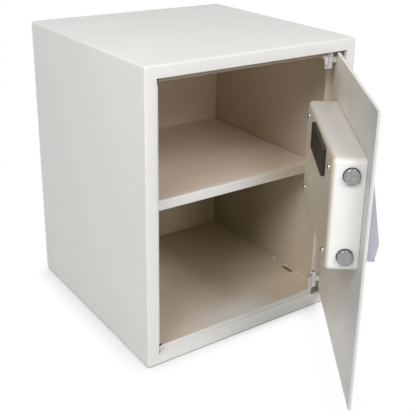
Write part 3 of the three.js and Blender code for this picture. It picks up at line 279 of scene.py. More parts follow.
# Metal: fine grain, drawn out along the way that it was brushed or turned, and dull spots
EVEN = (1, 1, 1)
METAL_TONES = (0.9, 1.05)
METAL_CLOUD_SCALE = 30
SPOT_SCALE = 160
SPOT_TONE = 0.6
GRAIN_SHARES = (0.8, 1.35)


def metal(name, colour, roughness, brushed=EVEN, grain=700, depth=0.00002, spots=0.0):
    s = Shader(name)
    s.set(Metallic=1.0)
    lines = s.noise(grain, detail=3, rough=0.6, vector=s.stretched(brushed))
    base = s.toned(s.spread(s.noise(METAL_CLOUD_SCALE, detail=3)), colour, METAL_TONES)
    if spots:
        dull = s.spread(s.noise(SPOT_SCALE, detail=4), start=0.55, end=0.7)
        base = s.mix(s.math("MULTIPLY", dull, spots), base, times(colour, SPOT_TONE))
    rough = s.spread(lines, *(roughness * share for share in GRAIN_SHARES))
    return s.finish(base, rough, s.bump(lines, strength=0.25, distance=depth))


# Turned end faces: the fine rings of a lathe
TURNED_TONES = (0.86, 1.1)
BLOTCH_SCALE = 260
TURNED_SHEEN_SCALE = 700
TURNED_SHEEN = (0.26, 0.42)
RING_DEPTH = 0.00003


def turned_face(name, colour, pitch):
    s = Shader(name)
    s.set(Metallic=1.0)
    split = s.add("ShaderNodeSeparateXYZ")
    s.link(s.coords, split.inputs[0])
    squares = [s.math("MULTIPLY", split.outputs[axis], split.outputs[axis]) for axis in ("X", "Y")]
    radius = s.math("SQRT", s.math("ADD", *squares))
    rings = s.math("SINE", s.math("MULTIPLY", radius, 2 * math.pi / pitch))
    base = s.toned(s.spread(s.noise(BLOTCH_SCALE, detail=3)), colour, TURNED_TONES)
    rough = s.spread(s.noise(TURNED_SHEEN_SCALE), *TURNED_SHEEN)
    return s.finish(base, rough, s.bump(rings, strength=0.35, distance=RING_DEPTH))


# Moulded plastic: a fine texture, and shade in the creases
PLASTIC_CLOUD_SCALE = 14
PLASTIC_TONES = (0.93, 1.06)
PLASTIC_CREASE_REACH = 0.003
PLASTIC_CREASE_SHARE = 0.4
PLASTIC_CREASE_TONE = 0.6
PLASTIC_SHEEN_SCALE = 60
PLASTIC_SHEEN_CHANGES = (-0.05, 0.08)


def plastic(name, colour, roughness, grain=1400, depth=0.00012, strength=0.25):
    s = Shader(name)
    base = s.toned(s.spread(s.noise(PLASTIC_CLOUD_SCALE, detail=3)), colour, PLASTIC_TONES)
    shade = s.math("MULTIPLY", s.hollows(PLASTIC_CREASE_REACH), PLASTIC_CREASE_SHARE)
    base = s.mix(shade, base, times(colour, PLASTIC_CREASE_TONE))
    sheen = (roughness + change for change in PLASTIC_SHEEN_CHANGES)
    rough = s.spread(s.noise(PLASTIC_SHEEN_SCALE, detail=3), *sheen)
    s.set(IOR=1.46)
    return s.finish(base, rough, s.bump(s.noise(grain), strength, distance=depth))


# Circuit board: copper tracks under the lacquer
TRACK_SCALE = 180
TRACK_WIDTH = 0.035
TRACK_TONES = (1, 1.7)
TRACK_DEPTH = 0.00005
LACQUER_SCALE = 80
LACQUER_SHEEN = (0.3, 0.5)


def laminate(name, colour):
    s = Shader(name)
    tracks = s.add("ShaderNodeTexBrick")
    tracks.inputs["Scale"].default_value = TRACK_SCALE
    tracks.inputs["Mortar Size"].default_value = TRACK_WIDTH
    s.link(s.coords, tracks.inputs["Vector"])
    base = s.toned(tracks.outputs["Fac"], colour, TRACK_TONES)
    rough = s.spread(s.noise(LACQUER_SCALE), *LACQUER_SHEEN)
    return s.finish(base, rough, s.bump(tracks.outputs["Fac"], strength=0.2, distance=TRACK_DEPTH))


# Clear coloured lens, with the faint ripple of its mould
LENS_CLOUD_SCALE = 300
LENS_TONES = (0.9, 1.1)
LENS_SHEEN_SCALE = 200
LENS_SHEEN = (0.12, 0.22)
LENS_RIPPLE_SCALE = 900
LENS_RIPPLE_DEPTH = 0.00004


def lens(name, colour):
    s = Shader(name)
    s.set(Transmission_Weight=0.55, IOR=1.49, Coat_Weight=0.4)
    base = s.toned(s.spread(s.noise(LENS_CLOUD_SCALE)), colour, LENS_TONES)
    rough = s.spread(s.noise(LENS_SHEEN_SCALE), *LENS_SHEEN)
    ripple = s.bump(s.noise(LENS_RIPPLE_SCALE, detail=1), strength=0.1, distance=LENS_RIPPLE_DEPTH)
    return s.finish(base, rough, ripple)


# The door's own frame: x runs from the free edge to the hinge edge, y from outside to inside, z up.
# The swing's lower limit shuts the door, and the rest pose has it open.
door_swing = next(joint for joint in frame["record"]["behaviour"]["joints"] if joint["name"] == "door_swing")
DOOR_OPEN = math.radians(-door_swing["range_deg"][0])
HINGE_PIN = Vector((*door_swing["pos_m"][:2], 0)) / MM
HINGE_INSET = 17
HINGE_STANDOFF = 10
TO_HINGE = Vector((math.cos(DOOR_OPEN), math.sin(DOOR_OPEN), 0))
TO_INSIDE = Vector((-math.sin(DOOR_OPEN), math.cos(DOOR_OPEN), 0))
DOOR = Matrix.Translation(HINGE_PIN * MM) @ Matrix.Rotation(DOOR_OPEN, 4, "Z")


def at_door(across, depth, height):
    """A place on the door: from its hinge edge, from its inner face and above the floor."""
    spot = Vector((HINGE_INSET - across, depth - HINGE_STANDOFF, height))
    return DOOR @ Matrix.Translation(spot * MM)


def across_limit(start, end):
    """A limit of paint between two distances from the door's hinge edge."""
    edge = HINGE_PIN.dot(TO_HINGE) + HINGE_INSET
    return limit(TO_HINGE, edge - start, edge - end)


def depth_limit(start, end):
    """A limit of paint between two distances inward from the door's inner face."""
    face = HINGE_PIN.dot(TO_INSIDE) - HINGE_STANDOFF
    return limit(TO_INSIDE, face + start, face + end)


# Zones of the cabinet and the door, where light and shade are painted into the coat: it is warmer inside the
# cabinet and on the door's inner side
INSIDE = room((-183.6, -168, 1.2), (183.6, 176.8, 448.8))
UPPER_HINGE_GAP = room((150, -177.5, 430), (183.6, -142, 449))
LOWER_HINGE_GAP = room((136, -175.5, 1.2), (183.6, -142, 18.5))
UPPER_STOP = room((-170.2, -171.3, 420), (170.2, -167.5, 449))
SHELF_MIDDLE = (214, 216)
OVER_SHELF = [*INSIDE, limit(Z, *SHELF_MIDDLE)]
UNDER_SHELF = [*INSIDE, limit(Z, *reversed(SHELF_MIDDLE))]
FLOOR_SHEET = [*INSIDE, limit(Z, 3, 2)]
INNER_FACE = [depth_limit(-3, -2)]
COVER_FACE = [depth_limit(37, 41.5)]

# Colours of the coat, and the painted light and shade of each of its zones, where a later zone covers an
# earlier one
PAINT = (0.70, 0.695, 0.675)
# The shelf, the cover and the lip wear lighter coats than the rest: painted light
SHELF_PAINT = (0.86, 0.855, 0.84)
COVER_PAINT = (0.78, 0.775, 0.755)
LIP_PAINT = (0.84, 0.76, 0.66)
CABINET_ZONES = (
    # Painted shade: the whole inside, warmer and darker from the frame backward
    ((0.66, 0.565, 0.44), [*INSIDE, limit(Y, -168, -138)]),
    # Painted shade on the stop lip over the opening, and darker painted shade in the gaps around the hinges
    ((0.36, 0.315, 0.23), UPPER_STOP),
    ((0.15, 0.12, 0.085), UPPER_HINGE_GAP),
    ((0.26, 0.22, 0.17), LOWER_HINGE_GAP),
    # Painted shade on the back part of the right wall under the shelf
    ((0.36, 0.305, 0.20), [*UNDER_SHELF, limit(X, 100, 150), limit(Y, -80, 50)]),
    # The floor: painted shade on its far right, and painted light on its left and on the middle of its front
    ((0.52, 0.44, 0.33), [*FLOOR_SHEET, limit(Y, -90, -30), limit(X, 0, 50)]),
    ((0.86, 0.75, 0.64), [*FLOOR_SHEET, limit(X, 30, -40)]),
    ((0.80, 0.78, 0.74), [*FLOOR_SHEET, limit(Y, -80, -120), limit(X, 100, 40), limit(X, -110, 0)]),
)
BACK_ZONES = (
    # Painted light over the shelf and under it, and painted shade on its right part under it
    ((0.95, 0.81, 0.68), OVER_SHELF),
    ((0.98, 0.86, 0.70), UNDER_SHELF),
    ((0.56, 0.47, 0.33), [*UNDER_SHELF, limit(X, 80, 160)]),
)
SHELF_ZONES = (
    # Painted shadow on the right part of the front flange, and painted shade on the top behind it
    ((0.72, 0.64, 0.50), [limit(X, 20, 120), limit(Y, -106, -107)]),
    ((0.80, 0.675, 0.555), [*INSIDE, limit(Y, -109, -99)]),
)
DOOR_ZONES = (
    # Painted shade on the inner face, and painted light on its part nearer the hinges
    ((0.55, 0.545, 0.53), INNER_FACE),
    ((0.82, 0.775, 0.69), [*INNER_FACE, across_limit(320, 130)]),
)
COVER_ZONES = (
    # Painted shade on the upper end and on the face toward the inside, and deeper painted shade on that face
    # nearer the free edge
    ((0.70, 0.675, 0.63), [limit(Z, 353, 361)]),
    ((0.78, 0.70, 0.57), COVER_FACE),
    ((0.54, 0.475, 0.365), [*COVER_FACE, across_limit(70, 280)]),
)

finishes = {
    "painted_steel": painted("painted_steel", PAINT),
    "painted_cabinet": painted("painted_cabinet", PAINT, *CABINET_ZONES),
    "painted_back": painted("painted_back", PAINT, *BACK_ZONES),
    "painted_shelf": painted("painted_shelf", SHELF_PAINT, *SHELF_ZONES),
    "painted_door": painted("painted_door", PAINT, *DOOR_ZONES),
    "painted_cover": painted("painted_cover", COVER_PAINT, *COVER_ZONES),
    "painted_lip": painted("painted_lip", LIP_PAINT),
    "bare_steel": metal(
        "bare_steel", (0.56, 0.56, 0.54), roughness=0.34,
        brushed=(1, 1, 8), grain=500, depth=0.00006, spots=0.3),
    "chrome": metal("chrome", (0.52, 0.53, 0.54), roughness=0.10),
    "brass": metal(
        "brass", (0.72, 0.55, 0.27), roughness=0.3,
        brushed=(1, 1, 4), grain=600, depth=0.00005),
    # Chrome made darker for the bolts' sides: a painted dark reflection
    "bolt_side_dark_reflection": metal("bolt_side_dark_reflection", (0.27, 0.275, 0.28), roughness=0.12),
    "bolt_face": turned_face("turned_steel", (0.33, 0.335, 0.335), pitch=0.00045),
    "black_plastic": plastic("black_plastic", (0.017, 0.0125, 0.009), roughness=0.52),
    "grey_plastic": plastic("grey_plastic", (0.46, 0.46, 0.53), roughness=0.42, grain=900),
    "key_plastic": plastic("key_plastic", (0.075, 0.077, 0.095), roughness=0.44, grain=1100),
    "legend": plastic(
        "legend_white", (0.72, 0.73, 0.75), roughness=0.45,
        grain=700, depth=0.00002, strength=0.1),
    # Dark brown that stands for the shade inside the floor slot
    "shade_in_slot": plastic("dark_slot_shade", (0.19, 0.145, 0.07), roughness=0.55),
    # Near black that stands for the shade in the weld reliefs
    "relief": plastic("relief_shade", (0.012, 0.011, 0.010), roughness=0.7),
    "cell_wrap": plastic(
        "cell_wrap", (0.03, 0.03, 0.035), roughness=0.25,
        grain=400, depth=0.00004, strength=0.1),
    "board": laminate("board", (0.012, 0.10, 0.045)),
    "red_lens": lens("red_lens", (0.42, 0.02, 0.015)),
    "green_lens": lens("green_lens", (0.03, 0.28, 0.05)),
}

# Dressing of the CAD nodes: the finish of each one's slot or a coat of its own with painted light and shade,
# and softly broken edges
OWN_COATS = {
    "cabinet_shell": "painted_cabinet",
    "back_panel": "painted_back",
    "shelf": "painted_shelf",
    "door_panel": "painted_door",
    "lock_cover": "painted_cover",
}
SOFT_EDGES = {
    "door_panel": 0.6,
    "shelf": 0.5,
    "battery_lid": 0.3,
    "lock_cover": 0.3,
}
WELD_DISTANCE = 0.005
BEVEL_STEPS = 2
BEVEL_ANGLE = math.radians(50)
SOFT_SPLIT_ANGLE = math.radians(47)
SHARP_SPLIT_ANGLE = math.radians(32)


def dress(node, finish, edge_width):
    for slot in node.material_slots:
        slot.material = finish
    weld = node.modifiers.new("weld", "WELD")
    weld.merge_threshold = WELD_DISTANCE * MM
    for face in node.data.polygons:
        face.use_smooth = True
    if edge_width:
        bevel = node.modifiers.new("soft_edges", "BEVEL")
        bevel.width = edge_width * MM
        bevel.segments = BEVEL_STEPS
        bevel.limit_method = "ANGLE"
        bevel.angle_limit = BEVEL_ANGLE
    split = node.modifiers.new("creases", "EDGE_SPLIT")
    split.split_angle = SOFT_SPLIT_ANGLE if edge_width else SHARP_SPLIT_ANGLE
    if edge_width:
        node.modifiers.new("flat_faces", "WEIGHTED_NORMAL")


def dress_nodes():
    coats = {part["node"]: part["material_slot"] for part in frame["record"]["subparts"]}
    coats.update(OWN_COATS)
    for name, node in frame["nodes"].items():
        dress(node, finishes[coats[name]], SOFT_EDGES.get(name))


# Meshes of the small parts
UNMOVED = Matrix.Identity(4)
STANDING = Matrix.Rotation(math.radians(90), 4, "X")
OUT_OF_COVER = Matrix.Rotation(math.radians(-90), 4, "X")
TO_DOOR_END = Matrix.Rotation(math.radians(-90), 4, "Y")


def moved(*spot):
    """The place of a part that is moved and not turned."""
    return Matrix.Translation(Vector(spot) * MM)


def piece(name, mesh, place, body, slot, *materials, replaces=()):
    """A small part that moves with a body, and stands for CAD nodes if it replaces any."""
    thing = bpy.data.objects.new(name, mesh)
    thing.matrix_world = place
    scene.collection.objects.link(thing)
    for material in materials:
        mesh.materials.append(material)
    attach(thing, body)
    if replaces:
        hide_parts(*replaces)
    return thing


def mesh_of(name, work):
    bmesh.ops.recalc_face_normals(work, faces=work.faces)
    mesh = bpy.data.meshes.new(name)
    work.to_mesh(mesh)
    work.free()
    return mesh


def join(work, mesh, place):
    """Adds a mesh, moved to its place, and leaves no copy of it."""
    mesh.transform(place)
    work.from_mesh(mesh)
    bpy.data.meshes.remove(mesh)


def smooth(mesh, angle=30):
    mesh.shade_smooth()
    mesh.set_sharp_from_angle(angle=math.radians(angle))
    return mesh


def turned(name, profile, steps=64):
    """A turned mesh about Z, from pairs of radius and height."""
    work = bmesh.new()
    rings = []
    for radius, height in profile:
        count = steps if radius else 1
        turns = [2 * math.pi * i / steps for i in range(count)]
        points = [Vector((radius * math.cos(turn), radius * math.sin(turn), height)) for turn in turns]
        rings.append([work.verts.new(point * MM) for point in points])
    for low, high in zip(rings, rings[1:]):
        for i in range(steps):
            j = (i + 1) % steps
            corners = (low[i % len(low)], low[j % len(low)], high[j % len(high)], high[i % len(high)])
            work.faces.new(list(dict.fromkeys(corners)))
    return mesh_of(name, work)


def rounded_end(radius, height, round_radius, steps=5):
    """Points of a rounded corner of a turned profile, from its side to its end."""
    points = []
    for i in range(steps + 1):
        turn = math.radians(90 * i / steps)
        inward, back = round_radius * (1 - math.cos(turn)), round_radius * (1 - math.sin(turn))
        points.append((radius - inward, height - back))
    return points


def block(name, width, depth, height, centre=(0, 0, 0)):
    work = bmesh.new()
    bmesh.ops.create_cube(work, size=MM)
    bmesh.ops.scale(work, verts=work.verts, vec=(width, depth, height))
    bmesh.ops.translate(work, verts=work.verts, vec=Vector(centre) * MM)
    return mesh_of(name, work)


def prism(work, outline, low, high):
    """Adds an upright prism over an outline."""
    foot = work.faces.new([work.verts.new(Vector((x, y, low)) * MM) for x, y in outline])
    grown = bmesh.ops.extrude_face_region(work, geom=[foot])
    raised = [item for item in grown["geom"] if isinstance(item, bmesh.types.BMVert)]
    bmesh.ops.translate(work, verts=raised, vec=(0, 0, (high - low) * MM))


def carve(mesh, cutters):
    """The mesh with each cutter mesh taken out of it."""
    body = bpy.data.objects.new("carving", mesh)
    scene.collection.objects.link(body)
    tools = []
    for cutter in cutters:
        tool = bpy.data.objects.new("cutter", cutter)
        scene.collection.objects.link(tool)
        tools.append(tool)
        cut = body.modifiers.new("cut", "BOOLEAN")
        cut.operation = "DIFFERENCE"
        cut.solver = "EXACT"
        cut.object = tool
    seen = body.evaluated_get(bpy.context.evaluated_depsgraph_get())
    result = bpy.data.meshes.new_from_object(seen)
    for thing in [body, *tools]:
        bpy.data.objects.remove(thing)
    return result


# Locking bolts: polished sides in a darker chrome that is a painted dark reflection, and turned end faces
# that rise a little toward the centre
BOLT_RADIUS = 10.2
BOLT_LENGTH = 61
BOLT_CHAMFER = 1.6
BOLT_END_ROUND = 1.0
BOLT_RIM = 0.3
BOLT_RISE = 0.35
BOLT_FLAT = 4
BOLT_INNER = 248
BOLT_DEPTH = 18
BOLT_HEIGHTS = {"bolt_upper": 342, "bolt_lower": 234}


def locking_bolt(name, height):
    shoulder = BOLT_LENGTH - BOLT_RISE
    face_radius = BOLT_RADIUS - BOLT_END_ROUND
    profile = [(0, 0), (BOLT_RADIUS - BOLT_CHAMFER, 0), (BOLT_RADIUS, BOLT_CHAMFER)]
    profile += rounded_end(BOLT_RADIUS, shoulder, BOLT_END_ROUND)
    profile += [(face_radius - BOLT_RIM, shoulder), (BOLT_FLAT, BOLT_LENGTH), (0, BOLT_LENGTH)]
    mesh = smooth(turned(name + "_turned", profile))
    place = at_door(BOLT_INNER, BOLT_DEPTH, height) @ TO_DOOR_END
    looks = (finishes["bolt_side_dark_reflection"], finishes["bolt_face"])
    piece(name + "_turned", mesh, place, "bolts", "chrome", *looks, replaces=(name,))
    for face in mesh.polygons:
        at_outer_end = face.center.z > BOLT_LENGTH / 2 * MM
        in_face = face.center.xy.length < face_radius * MM
        face.material_index = int(at_outer_end and in_face)


# Cover screws: pan heads with a cross recess
SCREW_PLACES = [(72, 344.5), (72, 231.5), (281, 344.5), (281, 231.5)]
COVER_DEPTH = 42.3
SHANK_RADIUS = 2
SHANK_LENGTH = 7
HEAD_RADIUS = 4
HEAD_HEIGHT = 2.2
HEAD_RIM = 0.7
HEAD_CROWN = [(3.7, 1.3), (3.0, 1.8), (2.0, 2.1), (1.0, HEAD_HEIGHT), (0, HEAD_HEIGHT)]
RECESS_LENGTH = 4.4
RECESS_WIDTH = 1.0
RECESS_DEPTH = 1.3
FIRST_SCREW_TURN = 20
NEXT_SCREW_TURN = 67


def cover_screw(index, across, height):
    name = f"cover_screw_{index + 1}"
    shank = [(0, -SHANK_LENGTH), (SHANK_RADIUS, -SHANK_LENGTH), (SHANK_RADIUS, 0)]
    profile = [*shank, (HEAD_RADIUS, 0), (HEAD_RADIUS, HEAD_RIM), *HEAD_CROWN]
    top = (0, 0, HEAD_HEIGHT)
    bars = ((RECESS_LENGTH, RECESS_WIDTH), (RECESS_WIDTH, RECESS_LENGTH))
    recesses = [block("recess", *bar, RECESS_DEPTH * 2, top) for bar in bars]
    head = smooth(carve(turned(name + "_head", profile, steps=40), recesses))
    head.name = name + "_cross"
    turn = Matrix.Rotation(math.radians(FIRST_SCREW_TURN + NEXT_SCREW_TURN * index), 4, "Z")
    place = at_door(across, COVER_DEPTH, height) @ OUT_OF_COVER @ turn
    piece(name + "_cross", head, place, "door", "chrome", finishes["chrome"], replaces=(name,))


# Key legends: thin printed figures on the caps, and plain marks on the clear and enter keys
HOUSING_RISE = 19.5
HOUSING_HEIGHT = 118
HOUSING_PLACE = (-209, -30.05, 297)
KEY_PITCH = (27, 20.5)
KEY_ROWS = 4
KEY_COLUMNS = 3
KEYPAD_MIDDLE = -6.08
CAP_FRONT = -2.03
LEGEND_SIZE = 9.5
LEGEND_THICK = 0.05
STROKE_WIDTH = 1.0
STROKE_THICK = 0.1
KEYS = ("1", "2", "3", "4", "5", "6", "7", "8", "9", "clear", "0", "enter")
# Each stroke of a mark has its middle, its turn in degrees and its length
MARKS = {
    "clear": (((0, 0), 45, 7), ((0, 0), -45, 7)),
    "enter": (((-1.9, -0.6), -45, 3.6), ((1.1, 0.5), 52, 7)),
}


def figure(name, text):
    curve = bpy.data.curves.new(name, "FONT")
    curve.body = text
    curve.size = LEGEND_SIZE * MM
    curve.extrude = LEGEND_THICK * MM
    curve.align_x = "CENTER"
    curve.align_y = "CENTER"
    writing = bpy.data.objects.new(name, curve)
    scene.collection.objects.link(writing)
    seen = writing.evaluated_get(bpy.context.evaluated_depsgraph_get())
    mesh = bpy.data.meshes.new_from_object(seen)
    bpy.data.objects.remove(writing)
    return mesh


def strokes(name, marks):
    work = bmesh.new()
    for (x, y), turn, length in marks:
        bar = block(name, length, STROKE_WIDTH, STROKE_THICK)
        join(work, bar, moved(x, y, 0) @ Matrix.Rotation(math.radians(turn), 4, "Z"))
    return mesh_of(name, work)


def legend(index, key):
    name = "legend_" + key
    row, column = divmod(index, KEY_COLUMNS)
    across = (column - (KEY_COLUMNS - 1) / 2) * KEY_PITCH[0]
    height = KEYPAD_MIDDLE + ((KEY_ROWS - 1) / 2 - row) * KEY_PITCH[1]
    mesh = strokes(name, MARKS[key]) if key in MARKS else figure(name, key)
    slope = math.atan2(HOUSING_RISE, HOUSING_HEIGHT)
    face = DOOR @ moved(*HOUSING_PLACE) @ Matrix.Rotation(-slope, 4, "X")
    place = face @ moved(across, CAP_FRONT, height) @ STANDING
    piece(name, mesh, place, "key_" + key, "grey_plastic", finishes["legend"])


# Weld beads on the seam of the floor and the right wall: each one's place along the seam and its length
BEADS = ((-20, 8), (-56, 9), (-88, 8), (-118, 7))
SEAM = (182.1, 4.0)
BEAD_REACH = (2.1, 1.9)
LUMP_MEAN = 1.15
LUMP_SHARE = 0.22
LUMP_SCALE = 1.7
LUMP_CHANGE = 7.3
RIPPLE_SHARE = 0.10
RIPPLES = 11


def weld_bead(index, depth, length):
    name = f"weld_bead_{index + 1}"
    change = Vector((index * LUMP_CHANGE, 0, 0))
    work = bmesh.new()
    bmesh.ops.create_icosphere(work, subdivisions=3, radius=MM)
    for vert in work.verts:
        x, y, z = vert.co
        lump = LUMP_MEAN + LUMP_SHARE * noise.noise(vert.co / MM * LUMP_SCALE + change)
        ripple = 1 + RIPPLE_SHARE * math.sin(y / MM * RIPPLES + index)
        vert.co = Vector((x * BEAD_REACH[0] * ripple, y * length / 2, z * BEAD_REACH[1] * ripple)) * lump
    mesh = mesh_of(name, work)
    mesh.shade_smooth()
    place = moved(SEAM[0], depth, SEAM[1])
    piece(name, mesh, place, "cabinet", "painted_steel", finishes["painted_steel"])


# Dark piece in the floor slot that stands for the shade inside it: a thin flange with round ends over a stem
SLOT_SHADE_CENTRE = (177.2, -65.1)
SLOT_SHADE_LENGTH = 24.6
SLOT_SHADE_WIDTH = 6.4
SLOT_SHADE_LOW = 2.05
SLOT_SHADE_HIGH = 2.6
STEM_CENTRE = (176, -59)
STEM_SIZE = (3.4, 11.4)
STEM_LOW = 0.3
ROUND_STEPS = 8


def floor_slot_shade_piece():
    half_width = SLOT_SHADE_WIDTH / 2
    straight = SLOT_SHADE_LENGTH / 2 - half_width
    flange = []
    for end in (1, -1):
        for i in range(ROUND_STEPS + 1):
            turn = math.radians(180 * i / ROUND_STEPS)
            across, along = half_width * math.cos(turn), straight + half_width * math.sin(turn)
            flange.append((SLOT_SHADE_CENTRE[0] + end * across, SLOT_SHADE_CENTRE[1] + end * along))
    work = bmesh.new()
    prism(work, flange, SLOT_SHADE_LOW, SLOT_SHADE_HIGH)
    left, right = (STEM_CENTRE[0] + side * STEM_SIZE[0] / 2 for side in (-1, 1))
    front, back = (STEM_CENTRE[1] + side * STEM_SIZE[1] / 2 for side in (-1, 1))
    prism(work, [(left, front), (right, front), (right, back), (left, back)], STEM_LOW, SLOT_SHADE_LOW)
    mesh = mesh_of("floor_slot_shade_piece", work)
    piece("floor_slot_shade_piece", mesh, UNMOVED, "cabinet", "black_plastic", finishes["shade_in_slot"])


# Near-black pieces in the two free-side corners of the frame, standing for the shade in their weld reliefs
RELIEF_PLACES = {"upper": (-165.3, -179.7, 430.3), "lower": (-158.5, -170.9, 26.6)}
RELIEF_RADIUS = 1.5
RELIEF_LENGTH = 1.9


def corner_relief_shade(end, place):
    name = f"corner_relief_shade_{end}"
    profile = [(0, 0), (RELIEF_RADIUS, 0), (RELIEF_RADIUS, RELIEF_LENGTH), (0, RELIEF_LENGTH)]
    mesh = smooth(turned(name, profile, steps=24))
    piece(name, mesh, moved(*place) @ OUT_OF_COVER, "cabinet", "black_plastic", finishes["relief"])


# Lower hinge bracket: a foot behind the stop lip, a post with a slit for the screw, and two knuckles.
# Its plate is drawn lying down and stood up, so its depths count forward from the cabinet's middle.
FOOT_LEFT = 114.2
FOOT_LOW = 16.0
FOOT_TOP = 25.0
POST_LEFT = 135.2
POST_RIGHT = 140.2
ARM_RIGHT = 142.4
SLIT_RIGHT = 141.0
SLIT_HEIGHTS = (49.1, 52.5)
LOWER_KNUCKLE = (28.5, 37.1)
UPPER_KNUCKLE = (46.5, 55.1)
WEB_DEPTHS = (166.0, 169.0)
KNUCKLE_RADIUS = 5.2
PIN_BORE = 3.2
SEAM_CLOSING = 0.001


def web_outline():
    """The bracket's plate from the front: foot and right side upward, then down the left side."""
    low, gap_low = LOWER_KNUCKLE
    gap_high, high = UPPER_KNUCKLE
    slit_low, slit_high = SLIT_HEIGHTS
    foot = [(FOOT_LEFT, FOOT_LOW), (POST_RIGHT, FOOT_LOW)]
    lower_arm = [(POST_RIGHT, low), (ARM_RIGHT, low), (ARM_RIGHT, gap_low), (POST_RIGHT, gap_low)]
    upper_arm = [(POST_RIGHT, gap_high), (ARM_RIGHT, gap_high), (ARM_RIGHT, high), (POST_LEFT, high)]
    slit = [(POST_LEFT, slit_high), (SLIT_RIGHT, slit_high), (SLIT_RIGHT, slit_low), (POST_LEFT, slit_low)]
    return [*foot, *lower_arm, *upper_arm, *slit, (POST_LEFT, FOOT_TOP), (FOOT_LEFT, FOOT_TOP)]


def lower_hinge_bracket():
    work = bmesh.new()
    prism(work, web_outline(), *WEB_DEPTHS)
    bmesh.ops.transform(work, matrix=STANDING, verts=work.verts)
    for low, high in (LOWER_KNUCKLE, UPPER_KNUCKLE):
        bore = [(PIN_BORE, high), (PIN_BORE, low)]
        wall = [(PIN_BORE, low), (KNUCKLE_RADIUS, low), (KNUCKLE_RADIUS, high), *bore]
        join(work, turned("knuckle", wall, steps=48), Matrix.Translation(HINGE_PIN * MM))
    bmesh.ops.remove_doubles(work, verts=work.verts, dist=SEAM_CLOSING * MM)
    name = "lower_hinge_bracket_square"
    mesh = smooth(mesh_of(name, work))
    look = finishes["painted_steel"]
    piece(name, mesh, UNMOVED, "cabinet", "painted_steel", look, replaces=("lower_hinge_bracket",))


# Lip beside the hinges: a return of the right wall behind the door's edge, its own edge hemmed backward, in
# a lighter coat that is painted light
LIP_LEFT = 170.5
LIP_WALL = 183.9
LIP_FRONT = -141.0
LIP_HEM = -134.5
LIP_SHEET = 1.2
LIP_LOW = 2.3
LIP_HIGH = 447.7
LIP_BEND = 0.4


def hinge_side_lip():
    hem_right = LIP_LEFT + LIP_SHEET
    back = LIP_FRONT + LIP_SHEET
    outline = [(LIP_LEFT, LIP_FRONT), (LIP_WALL, LIP_FRONT), (LIP_WALL, back)]
    outline += [(hem_right, back), (hem_right, LIP_HEM), (LIP_LEFT, LIP_HEM)]
    work = bmesh.new()
    prism(work, outline, LIP_LOW, LIP_HIGH)
    mesh = mesh_of("hinge_side_lip", work)
    lip = piece("hinge_side_lip", mesh, UNMOVED, "cabinet", "painted_steel", finishes["painted_lip"])
    bend = lip.modifiers.new("soft_edges", "BEVEL")
    bend.width = LIP_BEND * MM
    bend.segments = BEVEL_STEPS


def add_small_parts():
    for name, height in BOLT_HEIGHTS.items():
        locking_bolt(name, height)
    for index, (across, height) in enumerate(SCREW_PLACES):
        cover_screw(index, across, height)
    for index, key in enumerate(KEYS):
        legend(index, key)
    for index, (depth, length) in enumerate(BEADS):
        weld_bead(index, depth, length)
    floor_slot_shade_piece()
    for end, place in RELIEF_PLACES.items():
        corner_relief_shade(end, place)
    lower_hinge_bracket()
    hinge_side_lip()


# Plain studio, in metres: a white floor that bends up into the backdrop
FLOOR_COLOUR = (0.6, 0.6, 0.6)
FLOOR_CLOUD_SCALE = 3
FLOOR_TONES = (0.98, 1.02)
FLOOR_WHITE = 0.996
FLOOR_DROP = 0.0005
FLOOR_FRONT = -6.0
FLOOR_SIDE = 7.0
BEND_START = 2.2
BEND_RADIUS = 1.6
BEND_STEPS = 12
BACKDROP_TOP = 6.0
SHADOW_REACH = 0.05


def studio_white():
    """White where it is seen, but grey in the light that it gives back and shaded close to the safe."""
    s = Shader("studio_white")
    base = s.toned(s.noise(FLOOR_CLOUD_SCALE), FLOOR_COLOUR, FLOOR_TONES)
    s.link(base, s.bsdf.inputs["Base Color"])
    s.set(Roughness=0.8)
    glow = s.add("ShaderNodeEmission")
    glow.inputs["Strength"].default_value = 1.0
    open_floor = s.spread(s.openness(SHADOW_REACH, samples=16), high=FLOOR_WHITE, start=0.1, end=0.85)
    white = s.math("MULTIPLY", s.seen_clearly(), open_floor)
    s.link(s.blend(white, s.bsdf.outputs[0], glow.outputs[0]), s.output.inputs["Surface"])
    return s.material


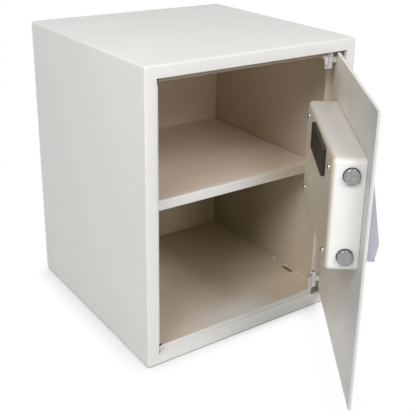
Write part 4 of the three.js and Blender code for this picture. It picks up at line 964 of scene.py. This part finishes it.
def studio():
    profile = [(FLOOR_FRONT, 0.0), (BEND_START, 0.0)]
    for i in range(1, BEND_STEPS + 1):
        turn = math.radians(90 * i / BEND_STEPS)
        profile.append((BEND_START + BEND_RADIUS * math.sin(turn), BEND_RADIUS * (1 - math.cos(turn))))
    profile.append((BEND_START + BEND_RADIUS, BACKDROP_TOP))
    verts = [(x, y, z - FLOOR_DROP) for x in (-FLOOR_SIDE, FLOOR_SIDE) for y, z in profile]
    count = len(profile)
    faces = [(i, i + 1, count + i + 1, count + i) for i in range(count - 1)]
    mesh = bpy.data.meshes.new("studio_floor")
    mesh.from_pydata(verts, [], faces)
    mesh.shade_smooth()
    mesh.materials.append(studio_white())
    floor = bpy.data.objects.new("studio_floor", mesh)
    floor.matrix_world = Matrix.Rotation(-YAW, 4, "Z")
    scene.collection.objects.link(floor)


# Light, in metres and watts: three soft round lamps, and an even sky that is seen as white
LAMP_TARGET = Vector((0, 0, 0.25))
LAMP_SIZE = 1.4
LAMPS = {
    "key_light": ((-1.82, -1.28, 2.26), 50),
    "front_light": ((0, -2.36, 2.10), 45),
    "left_light": ((-2.93, 0, 0.87), 5),
}
SKY_STRENGTH = 0.32
SKY_WHITE = (1.0, 1.0, 1.0)


def area_light(name, place, power):
    data = bpy.data.lights.new(name, "AREA")
    data.shape = "DISK"
    data.size = LAMP_SIZE
    data.energy = power
    lamp = bpy.data.objects.new(name, data)
    lamp.location = place
    lamp.rotation_mode = "QUATERNION"
    lamp.rotation_quaternion = (LAMP_TARGET - Vector(place)).to_track_quat("-Z", "Y")
    scene.collection.objects.link(lamp)


def world_light():
    world = bpy.data.worlds.new("studio")
    world.use_nodes = True
    sky = Nodes(world.node_tree)
    out = sky.add("ShaderNodeOutputWorld")
    soft = sky.add("ShaderNodeBackground")
    soft.inputs["Strength"].default_value = SKY_STRENGTH
    white = sky.add("ShaderNodeBackground")
    sky.feed(white.inputs["Color"], SKY_WHITE)
    sky.link(sky.blend(sky.seen_clearly(), soft.outputs[0], white.outputs[0]), out.inputs["Surface"])
    scene.world = world


place_camera()
dress_nodes()
add_small_parts()
studio()
world_light()
for name, (place, power) in LAMPS.items():
    area_light(name, place, power)
scene.view_settings.view_transform = "Standard"
